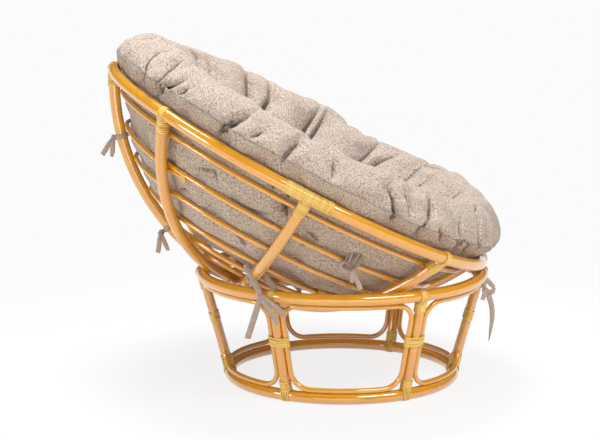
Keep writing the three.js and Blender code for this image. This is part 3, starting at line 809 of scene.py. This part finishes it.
# folds as depth and half width in mm, then points: azimuth, and way out from the middle over the cloth in mm
drawnFolds = [
    (24, 12, 246.5, 650, 244.3, 715, 241.8, 785),
    (14, 9, 252, 680, 250.6, 716),
    (18, 12, 261, 640, 260, 692, 260, 752),
    (9, 9, 271.5, 650, 272.4, 680, 272.6, 705),
    (12, 7, 286.5, 648, 288.5, 664, 289.3, 675),
    (22, 10, 288, 648, 289.8, 676, 290.8, 712, 292, 765),
    (16, 8, 293.8, 640, 295.5, 672, 295.4, 712),
    (20, 9, 303.5, 625, 303.7, 655, 302, 695),
    (16, 8, 301.9, 690, 300.4, 740, 301.8, 780),
    (12, 9, 311.5, 650, 312.5, 685, 312.5, 722),
    (10, 8, 315.5, 715, 320, 765),
    (16, 10, 189, 715, 185, 690, 180, 672),
    (15, 9, 198.6, 743, 198.3, 679, 196.1, 637, 199, 604),
    (18, 9, 210.4, 788, 213.1, 726, 208.3, 675, 208, 637, 207.9, 619),
    (12, 8, 209.5, 682, 206, 650, 204.5, 625),
    (24, 11, 218, 785, 219.4, 755, 222.2, 712, 225, 660),
    (15, 8, 227, 716, 227.6, 700, 228, 682),
    (16, 9, 218, 760, 219, 698, 216.5, 646, 215.8, 614),
    (12, 8, 315.4, 666, 314.8, 692, 315.7, 714),
    (11, 8, 317.3, 718, 319.4, 732, 323.5, 751),
    (14, 8, 321.2, 741, 326.1, 772, 327.6, 789),
    (12, 8, 313.1, 727, 319.5, 766, 321.2, 789),
    (13, 8, 305.7, 707, 307.5, 738, 310.8, 772),
    (13, 9, 329, 632, 326.5, 690, 329.7, 757),
    (9, 9, 340, 585, 328.9, 622),
    (9, 12, 234.7, 909, 238.5, 894, 242.3, 884, 244.7, 911),
    (10, 14, 249, 933, 254.6, 938, 259.8, 931, 264, 908),
    (12, 11, 264.4, 862, 266.5, 878, 268.1, 892),
    (12, 10, 265.9, 886, 267.2, 872, 267.2, 852),
    (10, 9, 259.7, 815, 260.8, 842),
    (10, 9, 265.1, 822, 265.5, 848),
    (10, 12, 255.4, 1036, 258.1, 1050, 260.9, 1057),
    (10, 12, 227.9, 1005, 231.7, 991, 234.9, 990),
    (10, 12, 275.9, 910, 278.3, 919, 280.1, 915),
    (10, 12, 213.6, 831, 217.7, 856, 225.1, 867),
    (10, 9, 42, 560, 30, 596),
    (10, 9, 33, 510, 30, 566),
    (8, 8, 361, 545, 357, 590),
    (20, 12, 158, 560, 155, 460, 149, 310),
    (24, 12, 149, 600, 142, 560, 143, 460, 149, 310),
    (20, 11, 136.5, 600, 135.5, 530, 136, 470),
    (24, 11, 116.5, 600, 115.8, 520, 115.5, 420, 115, 310),
    (24, 11, 106.5, 600, 106, 510, 110, 420, 115, 310),
    (20, 10, 87, 560, 88.5, 460, 88, 310),
    (18, 10, 83.5, 560, 84.5, 460, 88, 310),
    (20, 10, 61.5, 560, 62, 460, 63, 310),
    (18, 10, 52.5, 560, 56, 460, 63, 310),
]
folds = [
    ([(turn, way / 1000) for turn, way in zip(points[::2], points[1::2])], deepest, halfWidth)
    for deepest, halfWidth, *points in drawnFolds
]


def addHiddenFolds():
    # folds of the same kinds where the roll and the slope aren't drawn one by one
    rnd = random.Random(11)
    for turn in cushion["rollFolds"]:
        low = rnd.uniform(0.57, 0.63)
        high = low + rnd.uniform(0.09, 0.16)
        lean = rnd.uniform(-4, 4)
        deep = rnd.uniform(6, 10) if turn > 300 or turn < 10 else rnd.uniform(9, 17)
        folds.append(([(turn, low), (turn + lean * 0.3, (low + high) / 2), (turn + lean, high)], deep, 10))
    drawn = (149, 115, 88, 63)
    for tuft in cushion["tufts"]:
        if tuft not in drawn:
            for side in (-1, 1):
                lean = side * rnd.uniform(4, 9)
                points = [(tuft + lean, rnd.uniform(0.50, 0.57)), (tuft + lean * 0.6, 0.42), (tuft, 0.31)]
                folds.append((points, 14, 11))
        folds.append(([(tuft + rnd.uniform(-3, 3), 0.08), (tuft, 0.22)], 8, 9))
    ring = cushion["tufts"] + [cushion["tufts"][0] + 360]
    for before, after in zip(ring, ring[1:]):
        folds.append(([(before, 0.272), ((before + after) / 2, 0.262), (after, 0.272)], 9, 13))


def curveThrough(points, steps=24):
    # a smooth line through points
    ends = [points[0] * 2 - points[1]] + points + [points[-1] * 2 - points[-2]]
    line = []
    for a, b, c, d in zip(ends, ends[1:], ends[2:], ends[3:]):
        square = 2 * a - 5 * b + 4 * c - d
        cube = 3 * b - 3 * c + d - a
        for share in spread(0, 1, steps)[:-1]:
            line.append(0.5 * (2 * b + (c - a) * share + square * share**2 + cube * share**3))
    return line + [points[-1]]


def cushionSection():
    # the half section of the cushion from the middle of its top round to the middle of its underside
    points = [Vector(point) for point in zip(cushion["topRadii"], cushion["topHeights"])]
    for latitude in cushion["underRows"]:
        angle = radians(latitude)
        sphere = cushion["underSphere"]
        points.append(Vector((sphere * sin(angle), rimDepth - sphere * cos(angle))))
    flat, height = cushion["flatUnder"]
    points += [Vector((flat, height)), Vector((0, height))]
    line = np.array([list(point) for point in curveThrough(points)])
    lengths = np.concatenate([[0], np.cumsum(np.hypot(*np.diff(line, axis=0).T))])
    return line, lengths


section, sectionLengths = cushionSection()
sectionTotal = float(sectionLengths[-1])


def onSection(arcs):
    # radius and height in the bowl's own frame, and the outward direction there
    def at(places):
        return np.stack([np.interp(places, sectionLengths, section[:, side]) for side in (0, 1)])

    radius, rise = at(arcs)
    tangent = at(arcs + 0.004) - at(arcs - 0.004)
    tangent /= np.maximum(np.hypot(*tangent), 1e-9)
    return radius, rise - rimDepth, -tangent[1], tangent[0]


def foldField(arcs, turns, widthScale=1.0, sharp=False):
    # how deep the folds press in at each point of the cloth, in metres, and how near it is to one, 0 to 1
    depth = np.zeros_like(arcs)
    near = np.zeros_like(arcs)
    radius = np.maximum(np.interp(arcs, sectionLengths, section[:, 0]), 0.02)
    for points, deepest, halfWidth in folds:
        half = halfWidth * 0.001 * widthScale
        spans = [abs(b[1] - a[1]) + 0.008 * abs(b[0] - a[0]) for a, b in zip(points, points[1:])]
        best = np.full_like(arcs, 9.0)
        share = np.zeros_like(arcs)
        done = 0.0
        for (turnA, arcA), (turnB, arcB), span in zip(points, points[1:], spans):
            x = np.radians((turns - turnA + 180) % 360 - 180) * radius
            y = arcs - arcA
            endX = np.radians(turnB - turnA) * radius
            endY = arcB - arcA
            along = np.clip((x * endX + y * endY) / np.maximum(endX**2 + endY**2, 1e-9), 0, 1)
            away = np.hypot(x - along * endX, y - along * endY)
            share = np.where(away < best, (done + along * span) / sum(spans), share)
            best = np.minimum(away, best)
            done += span
        fade = np.sin(pi * np.clip(share, 0.02, 0.98)) ** 0.6
        press = np.clip(1 - best / half, 0, 1) ** 1.3 if sharp else np.exp(-((best / half) ** 2))
        depth = np.maximum(depth, deepest * 0.001 * fade * press)
        near = np.maximum(near, fade * press * min(1, deepest / 12))
    return depth, near


def tuftField(arcs, turns, half):
    press = np.exp(-((arcs / half) ** 2))
    radius = np.interp(arcs, sectionLengths, section[:, 0])
    for tuft in cushion["tufts"]:
        offTurn = (turns - tuft + 180) % 360 - 180
        away = np.hypot(np.radians(offTurn) * radius, arcs - cushion["tuftArc"])
        press = np.maximum(press, np.exp(-((away / half) ** 2)))
    return press


def cushionRings():
    # rings from the middle of the top round to the middle of the underside, with fewer points near both
    total, seam = sectionTotal, cushion["seam"]
    arcs = np.linspace(0.012, seam, round(seam / cushion["rowStep"])).tolist()
    arcs += np.linspace(seam, total - 0.012, round((total - seam) / cushion["underStep"])).tolist()[1:]
    rings = []
    for arc in arcs:
        halvings = sum(min(arc, total - arc) < nearer for nearer in (0.235, 0.115, 0.056, 0.028))
        rings.append((arc, cushion["columns"] // 2**halvings))
    return rings


def cushionPoints(arcs, turns):
    # the points before the cloth swells, and whether each is held meanwhile
    radius, height, outR, outZ = onSection(arcs)
    pressed, near = foldField(arcs, turns)
    tufted = tuftField(arcs, turns, 0.040)
    angle = np.radians(turns)
    lumps = np.array(
        [
            noise.noise(Vector((r * cos(t) * 8, r * sin(t) * 8, z * 8)))
            + 0.5 * noise.noise(Vector((r * cos(t) * 19, r * sin(t) * 19, z * 19 + 7)))
            for r, t, z in zip(radius, angle, height)
        ]
    )
    onTop = 1 - np.clip((arcs - 0.74) / 0.06, 0, 1)
    push = lumps * cushion["topLumps"] * onTop - cushion["slack"] * onTop * (arcs > 0.05)
    push -= pressed + tufted * cushion["tuftDepth"]
    # the underside rests on the hoops and swells a little between them
    latitude = np.degrees(np.arctan2(radius, -height))
    steps = np.degrees(hoopLatitudes)
    offHoop = np.min(np.abs(latitude[None, :] - steps[:, None]), axis=0)
    under = np.clip((arcs - 0.82) / 0.05, 0, 1) * (latitude > 15)
    push += under * cushion["underBulge"] * np.clip(offHoop / 4.2, 0, 1) * (latitude < 62)
    push -= under * cushion["underLumps"] * np.abs(lumps)
    # the roll stands higher behind, and at the front it is drawn in
    crown = np.clip((height + rimDepth - 0.026) / 0.112, 0, 1) * (arcs < 0.76)
    lifts = np.interp(turns, cushion["crownTurns"], cushion["crownLifts"])
    height = height + 0.001 * lifts * crown * crown * (3 - 2 * crown)
    offFront = (turns + 180) % 360 - 180
    rolled = np.clip((arcs - 0.50) / 0.12, 0, 1) * np.clip((0.86 - arcs) / 0.10, 0, 1)
    flat = radius + push * outR - cushion["frontPull"] * rolled * np.exp(-((offFront / 42) ** 2))
    points = np.stack([flat * np.cos(angle), flat * np.sin(angle), height + push * outZ], axis=1)
    points = np.concatenate([points, [[0, 0, points[0, 2]], [0, 0, points[-1, 2]]]])
    held = (np.maximum(near * 1.1, tufted * 1.2) > 0.7) | (arcs > 0.80) | (arcs < 0.06)
    return points, np.append(held, [True, True])


def cushionFaces(rings):
    # faces between the rings, and the cloth lying flat in the UV map, its underside beside its top
    starts = np.cumsum([0] + [count for _, count in rings]).tolist()
    faces, uvs = [], []

    def addFace(corners, underside):  # corners are (ring, column), or (None, 0) at a middle
        face = []
        for ring, column in corners:
            if ring is None:
                face.append(starts[-1] + underside)
                uvs.append((3 * underside, 0))
                continue
            arc, count = rings[ring]
            reach = sectionTotal - arc if underside else arc
            turn = 2 * pi * (column % count) / count
            face.append(starts[ring] + column % count)
            uvs.append((reach * cos(turn) + 3 * underside, reach * sin(turn)))
        faces.append(face)

    for ring in range(len(rings) - 1):
        count, after = rings[ring][1], rings[ring + 1][1]
        underside = rings[ring][0] > cushion["seam"] - 0.0001
        for column in range(min(count, after)):
            two = 2 * column
            if count == after:
                corners = [(ring, column), (ring + 1, column), (ring + 1, column + 1), (ring, column + 1)]
            elif count > after:
                corners = [(ring + 1, column), (ring + 1, column + 1)]
                corners += [(ring, two + 2), (ring, two + 1), (ring, two)]
            else:
                corners = [(ring, column + 1), (ring, column)]
                corners += [(ring + 1, two), (ring + 1, two + 1), (ring + 1, two + 2)]
            addFace(corners, underside)
    last = len(rings) - 1
    for column in range(rings[0][1]):
        addFace([(None, 0), (0, column), (0, column + 1)], False)
        addFace([(None, 0), (last, column + 1), (last, column)], True)
    return faces, uvs


def clothPlaces(mesh):
    # each point's way out from the middle over the cloth and its azimuth, read from the UV map
    uv = np.empty(len(mesh.loops) * 2)
    mesh.uv_layers[0].data.foreach_get("uv", uv)
    corner = np.empty(len(mesh.loops), dtype=np.int64)
    mesh.loops.foreach_get("vertex_index", corner)
    place = np.zeros((len(mesh.vertices), 2))
    place[corner] = uv.reshape(-1, 2)
    underside = place[:, 0] > 1.5
    flatX = np.where(underside, place[:, 0] - 3, place[:, 0])
    reach = np.hypot(flatX, place[:, 1])
    arcs = np.where(underside, sectionTotal - reach, reach)
    return arcs, np.degrees(np.arctan2(place[:, 1], flatX)) % 360, corner


def swellCushion(piece, held):
    piece.vertex_groups.new(name="held").add(np.nonzero(held)[0].tolist(), 1, "REPLACE")
    before = np.array([list(vertex.co) for vertex in piece.data.vertices])
    cloth = piece.modifiers.new("swell", "CLOTH")
    for key, value in clothSettings.items():
        setattr(cloth.settings, key, value)
    cloth.settings.effector_weights.gravity = 0
    cloth.settings.vertex_group_mass = "held"
    cloth.collision_settings.use_collision = False
    cloth.point_cache.frame_start = 1
    cloth.point_cache.frame_end = cushion["frames"]
    for moment in range(cushion["frames"]):
        bpy.context.scene.frame_set(moment + 1)
    pickOnly(piece)
    bpy.ops.object.modifier_apply(modifier="swell")
    bpy.context.scene.frame_set(1)
    move = np.array([list(vertex.co) for vertex in piece.data.vertices]) - before
    size = np.maximum(np.linalg.norm(move, axis=1, keepdims=True), 1e-9)
    after = before + move * np.minimum(1, cushion["cap"] / size)
    piece.data.vertices.foreach_set("co", after.ravel())
    print("stage: cushion swollen, furthest move", round(float(size.max()), 4))


def refineAtFolds(piece):
    # a finer mesh everywhere, and finer again round each fold
    finer = piece.modifiers.new("finer", "SUBSURF")
    finer.levels = finer.render_levels = 1
    pickOnly(piece)
    bpy.ops.object.modifier_apply(modifier="finer")
    mesh = piece.data
    arcs, turns, corner = clothPlaces(mesh)
    nearLine = foldField(arcs, turns, 0.7, sharp=True)[1] > 0.01
    firsts = np.empty(len(mesh.polygons), dtype=np.int64)
    mesh.polygons.foreach_get("loop_start", firsts)
    touched = np.maximum.reduceat(nearLine[corner], firsts)
    pickOnly(piece)
    bpy.ops.object.mode_set(mode="EDIT")
    bpy.ops.mesh.select_mode(type="FACE")
    bpy.ops.mesh.select_all(action="DESELECT")
    bpy.ops.object.mode_set(mode="OBJECT")
    mesh.polygons.foreach_set("select", touched)
    bpy.ops.object.mode_set(mode="EDIT")
    bpy.ops.mesh.subdivide(number_cuts=1, smoothness=0)
    bpy.ops.object.mode_set(mode="OBJECT")


creases = {"depth": 0.85, "seamHalf": 0.0045, "seamDepth": 0.0016, "gather": 0.006}


def creaseCushion(mesh):
    # the sharp lines of the folds, the fine gathers and the seam, and the painted shade in the folds, along
    # the seam and round the tufts
    arcs, turns, _ = clothPlaces(mesh)
    depth, line = foldField(arcs, turns, 0.5, sharp=True)
    seamLine = np.clip(1 - np.abs(arcs - cushion["seam"]) / creases["seamHalf"], 0, 1)
    tuftShade = tuftField(arcs, turns, 0.016)
    gather = tuftField(arcs, turns, 0.075) * (arcs < 0.80)
    ripple = np.array([noise.noise(Vector((turn * 0.55, arc * 7, 3))) for turn, arc in zip(turns, arcs)])
    coords = np.empty(len(arcs) * 3)
    normals = np.empty(len(arcs) * 3)
    mesh.vertices.foreach_get("co", coords)
    mesh.vertices.foreach_get("normal", normals)
    push = -depth * creases["depth"] - seamLine * creases["seamDepth"]
    push -= np.abs(ripple) * creases["gather"] * gather
    coords = coords.reshape(-1, 3) + normals.reshape(-1, 3) * push[:, None]
    mesh.vertices.foreach_set("co", coords.ravel())
    # painted shade for the cloth finish: dark in the fold lines, along the seam and round the tufts
    shade = mesh.attributes.new("fold", "FLOAT", "POINT")
    shade.data.foreach_set("value", np.clip(line + seamLine * 0.55 + tuftShade * 0.8, 0, 1))
    mesh.update()


def buildCushion():
    rings = cushionRings()
    arcs = np.concatenate([np.full(count, arc) for arc, count in rings])
    turns = np.concatenate([np.arange(count) * 360 / count for _, count in rings])
    points, held = cushionPoints(arcs, turns)
    piece = meshPiece("seatCushion", points.tolist(), *cushionFaces(rings))
    bpy.ops.object.shade_smooth()
    swellCushion(piece, held)
    refineAtFolds(piece)
    creaseCushion(piece.data)
    fit(piece, "bowl", cushionCloth, "cushion")


tieStrip = {"width": 0.0128, "thick": 0.0019, "knot": 0.0021}

# each tie goes round a rib (latitude, azimuth), a hoop (its number from 0, azimuth) or the rim (azimuth);
# its knot and the stations of its tails and loops are in mm, with the share of the strip's width there
ties = {
    "tie_back_high": {
        "rib": (48.6, 180),
        "knot": (-475.2, -15, 624),
        "tails": [
            [(-475.2, -16, 624, 0.7), (-486, -22, 612, 0.9), (-496, -22, 595, 1), (-505, -20, 581.5, 1)],
            [
                (-475.2, -18, 623, 0.6), (-477.5, -26, 610, 0.9), (-479, -24, 592, 1),
                (-481.5, -20, 576.5, 0.7),
            ],
        ],
    },
    "tie_back_low": {
        "rib": (22.3, 180),
        "knot": (-360, -15, 379),
        "tails": [
            [(-360, -18, 379, 0.6), (-363.5, -24, 364, 0.9), (-365, -22, 347, 1), (-368.5, -18, 329, 1)],
            [(-360, -16, 379, 0.6), (-354, -24, 365, 0.9), (-348, -24, 350, 1), (-342, -20, 335, 0.8)],
        ],
    },
    "tie_side_hoop": {
        "hoop": (1, 293),
        "gathers": 7,
        "knot": (111, -418, 356),
        "tails": [
            [(111, -420, 356, 0.7), (116, -424, 345, 0.8), (121, -423, 333, 0.9), (129, -420, 315, 0.9)],
            [(111, -422, 356, 0.7), (108, -426, 343, 0.9), (109, -424, 332, 0.8)],
        ],
        "loops": [
            [
                (108, -414, 364, 0.6), (93, -420, 380, 0.8), (81, -420, 373, 0.8), (88, -422, 359, 0.8),
                (108, -420, 355, 0.6),
            ],
        ],
    },
    "tie_side_rib": {
        "rib": (29.5, 270),
        "knot": (-104.7, -332, 279),
        "tails": [
            [
                (-140, -298, 348, 1.2), (-135, -318, 341, 1.3), (-125, -324, 323, 1.3),
                (-113, -328, 299, 1.2), (-104.7, -332, 281, 0.9),
            ],
            [
                (-106, -334, 278, 0.8), (-111, -337, 264, 1.1), (-121, -334, 230, 1.2),
                (-137.4, -328, 176.3, 1.2),
            ],
            [(-102, -336, 279, 0.8), (-88, -340, 269, 1), (-65, -343, 252, 1.1), (-45.3, -344, 235.3, 0.9)],
            [(-103, -338, 275, 0.8), (-92, -343, 259, 1), (-78, -345, 237, 1.1), (-63.2, -343, 213.1, 0.8)],
            [(-98, -296, 329, 1), (-83.2, -302, 309, 1.1), (-71.3, -306, 294, 1)],
        ],
    },
    "tie_front": {
        "rim": 355.5,
        "knot": (469, -30, 232),
        "tails": [
            [(443, -24, 280, 0.9), (464, -26, 264, 1), (480, -30, 250, 1), (492, -34, 237, 0.8)],
            [(492.5, -36, 237.5, 0.7), (485, -38, 226, 1), (469, -34, 231, 0.8)],
            [(469, -36, 232, 0.9), (466, -40, 220, 1), (461.5, -42, 206.6, 1)],
            [
                (471, -34, 233, 0.9), (479, -36, 215, 1.1), (487, -34, 186, 1.1), (488.5, -32, 155, 1),
                (485, -31, 125, 0.7), (480.9, -30, 96, 0.15),
            ],
        ],
    },
}

# the way of each pleat at a tie's gathered end: out from the middle, up from the hoop, and its spread
gatherPath = ((0.5500, 0.072, 0.95), (0.5600, 0.046, 0.86), (0.5660, 0.012, 0.70), (0.5650, -0.020, 0.34))


def inMetres(place):
    return Vector([value / 1000 for value in place[:3]])


def bandRun(centre, axis, pole):
    # a strip once round a pole and a little over its own start
    out = axis.orthogonal().normalized()
    aside = axis.cross(out)
    line = []
    for turn in spread(0, 380, 30):
        normal = out * cos(radians(turn)) + aside * sin(radians(turn))
        lift = pole + 0.0006 + 0.0012 * turn / 380
        line.append((centre + normal * lift + axis * 0.002 * (turn / 380 - 0.5), normal))
    return line


def knotRun(centre, scale, lean):
    # one closed overhand knot, tightened to a lump
    spin = Matrix.Rotation(lean, 3, "Y")
    line = []
    for turn in spread(0, 360, 48):
        angle = radians(turn)
        x = sin(angle) + 2 * sin(2 * angle)
        y = cos(angle) - 2 * cos(2 * angle)
        z = -1.3 * sin(3 * angle)
        offset = spin @ (Vector((x, z, y)) * scale)
        line.append((centre + offset, (offset.normalized() + Vector((0, -0.6, 0))).normalized(), 0.62))
    return line


def stripLine(stations):
    # points through the stations of a tail or a loop, and the share of the strip's width at each
    points = curveThrough([inMetres(station) for station in stations], 8)
    shares = curveThrough([Vector((station[3], 0)) for station in stations], 8)
    return points, [share.x for share in shares]


def tailRun(stations, twist):
    # a strip through its stations, slowly turning over
    points, shares = stripLine(stations)
    line = []
    for index, point in enumerate(points):
        ahead = points[min(index + 1, len(points) - 1)] - points[max(index - 1, 0)]
        side = ahead.normalized().cross(-sideways).normalized()
        angle = twist * index / len(points)
        line.append((point, side * sin(angle) - sideways * cos(angle), max(0.1, shares[index])))
    return line


def loopRun(stations):
    # a strip on its edge round the middle of its stations, as a bow's loop stands
    middle = sum((inMetres(station) for station in stations), Vector()) / len(stations)
    line = []
    for point, share in zip(*stripLine(stations)):
        line.append((point, ((point - middle).normalized() - sideways * 0.5).normalized(), share))
    return line


def gatherRuns(tie, rnd):
    # pleats of the strip's sewn end, drawn from the cushion over the hoop to the knot
    index, turn = tie["hoop"]
    latitude = hoopLatitudes[index]
    runs = []
    for pleat in range(tie["gathers"]):
        aside = pleat - (tie["gathers"] - 1) / 2
        line = []
        for reach, climb, lead in gatherPath:
            place = latitude + climb * (1 - 0.03 * aside * aside)
            line.append(bowlPlace @ onSphere(reach, place, radians(turn + aside * lead)))
        points = curveThrough(line, 6)
        outward = (points[-1] - bowlPlace.translation).normalized()
        lean = (1.5 if pleat % 2 else -1.5) + rnd.uniform(-0.4, 0.4)
        side = (points[-1] - points[0]).normalized().cross(outward)
        runs.append([(point, (outward + side * lean).normalized(), 0.85) for point in points])
    return runs


def tiePlace(tie):
    # where a tie goes round its pole, the pole's direction and radius there, and the way into the bowl
    inner = Vector()
    if "rib" in tie:
        latitude, turn = [radians(value) for value in tie["rib"]]
        sphere, pole, ahead = bowl["sphere"], bowl["ribPole"], (latitude + 0.01, turn)
    elif "hoop" in tie:
        latitude = hoopLatitudes[tie["hoop"][0]]
        turn = radians(tie["hoop"][1])
        sphere, pole, ahead = bowl["hoopSphere"], bowl["hoopPole"], (latitude, turn + radians(1))
    else:
        latitude, turn = rimLatitude, radians(tie["rim"])
        sphere, pole, ahead = bowl["sphere"], bowl["rimPole"], (latitude, turn + 0.02)
        inner.z = -0.1
    centre = bowlPlace @ onSphere(sphere, latitude, turn)
    axis = (bowlPlace @ onSphere(sphere, *ahead) - centre).normalized()
    return centre, axis, pole, (bowlPlace @ inner - centre).normalized()


def buildTies():
    rnd = random.Random(5)
    for node, tie in ties.items():
        centre, axis, pole, inward = tiePlace(tie)
        runs = [bandRun(centre, axis, pole)]
        for offset in (-0.003, 0.003):  # the strip's two ends run from the pole into the cushion
            start = centre + inward * (pole - 0.002) + axis * offset
            runs.append([(start + inward * (0.005 * step), axis, 0.8) for step in range(7)])
        knot = inMetres(tie["knot"])
        start = centre + (knot - centre).normalized() * pole
        runs.append([(start.lerp(knot, step / 4), -sideways, 0.8) for step in range(5)])
        runs.append(knotRun(knot, tieStrip["knot"], rnd.uniform(-1, 1)))
        runs += [tailRun(tail, rnd.uniform(-0.5, 0.5)) for tail in tie["tails"]]
        runs += [loopRun(loop) for loop in tie.get("loops", [])]
        if "gathers" in tie:
            runs += gatherRuns(tie, rnd)
        name = "".join(part.capitalize() for part in node.split("_"))
        piece = layStrips("cloth" + name, runs, tieStrip["width"], tieStrip["thick"])
        fit(piece, "bowl", tieCloth, node, turn=None)


addHiddenFolds()
buildCushion()
print("stage: cushion", flush=True)
buildTies()
print("stage: ties", flush=True)


studio = {
    "paper": (0.965, 0.965, 0.965),
    "floor": (0.82, 0.76, 0.68),
    "floorSeen": (0.17, 0.17, 0.17),
    "floorGlow": 0.81,
    "floorFade": (0.75, 1.9),
    "worldColour": (1, 0.99, 0.98),
    "worldLight": 0.42,
    "upper": 0.10,
    "horizon": 0.12,
}


def buildFloor():
    # a warm floor for the light on the chair, and a pale one that fades to the backdrop for the camera
    made = Finish("paleFloor")
    place = made.add("TexCoord", output=3)
    reach = made.add("VectorMath", {"operation": "LENGTH"}, output=1, i0=place)
    seen, _ = made.rays()
    plain = made.add("BsdfDiffuse", Color=studio["floor"])
    glow = made.add("Emission", Color=studio["paper"], Strength=1.0)
    pale = made.add("BsdfDiffuse", Color=studio["floorSeen"])
    lit = made.add("Emission", Color=(1, 1, 1), Strength=studio["floorGlow"])
    near = made.add("AddShader", i0=pale, i1=lit)
    faded = made.add("MixShader", i0=made.fade(reach, *studio["floorFade"]), i1=near, i2=glow)
    made.add("OutputMaterial", Surface=made.add("MixShader", i0=seen, i1=plain, i2=faded))
    bpy.ops.object.select_all(action="DESELECT")
    bpy.ops.mesh.primitive_circle_add(vertices=96, radius=14, fill_type="NGON", location=(0, 0, 0))
    floor = bpy.context.object
    floor.name = "floor"
    floor.data.materials.append(made.material)


def buildWorld():
    world = bpy.context.scene.world or bpy.data.worlds.new("studio")
    bpy.context.scene.world = world
    world.use_nodes = True
    made = Nodes(world.node_tree)
    seen, glossy = made.rays()
    soft = made.add("Background", Color=studio["worldColour"], Strength=studio["worldLight"])
    back = made.add("Background", Color=studio["paper"], Strength=1)
    # the varnish mirrors the pale backdrop up to a little above the floor, and a dimmer room over it
    upper = made.add("Background", Color=studio["paper"], Strength=studio["upper"])
    climb = made.fade(made.split(made.add("TexCoord"))[2], 0, studio["horizon"])
    backdrop = made.add("MixShader", i0=climb * glossy, i1=back, i2=upper)
    made.add("OutputWorld", Surface=made.add("MixShader", i0=seen, i1=soft, i2=backdrop))


def aimed(name, data, place, target):
    holder = link(bpy.data.objects.new(name, data))
    holder.location = place
    holder.rotation_euler = (Vector(target) - Vector(place)).to_track_quat("-Z", "Y").to_euler()
    return holder


def areaLight(name, place, target, size, power, colour=(1, 1, 1), height=None):
    lamp = bpy.data.lights.new(name, "AREA")
    lamp.shape = "RECTANGLE" if height else "DISK"
    lamp.size = size
    if height:
        lamp.size_y = height
    lamp.energy = power
    lamp.color = colour
    aimed(name, lamp, place, target).visible_camera = False


def buildCamera():
    lens = bpy.data.cameras.new("photoCamera")
    lens.lens = view["lens"]
    lens.sensor_width = 36
    lens.sensor_fit = "HORIZONTAL"
    lens.clip_end = 60
    bpy.context.scene.camera = aimed("photoCamera", lens, view["place"], view["target"])


bpy.context.scene.view_settings.view_transform = "Standard"
buildFloor()
buildWorld()
areaLight("keyLight", (1.9, -2.3, 2.9), (0, 0, 0.4), 2.4, 78, height=0.8)
areaLight("topLight", (-0.3, 0.3, 3.2), (0, 0, 0.4), 1.2, 74)
areaLight("sideLight", (-3.0, -1.8, 1.2), (0, 0, 0.4), 1.2, 30)
areaLight("lowLight", (-0.3, -3.4, 0.36), (0, 0, 0.35), 2.6, 11, (1, 0.86, 0.72), height=0.7)
buildCamera()
print("stage: studio", flush=True)
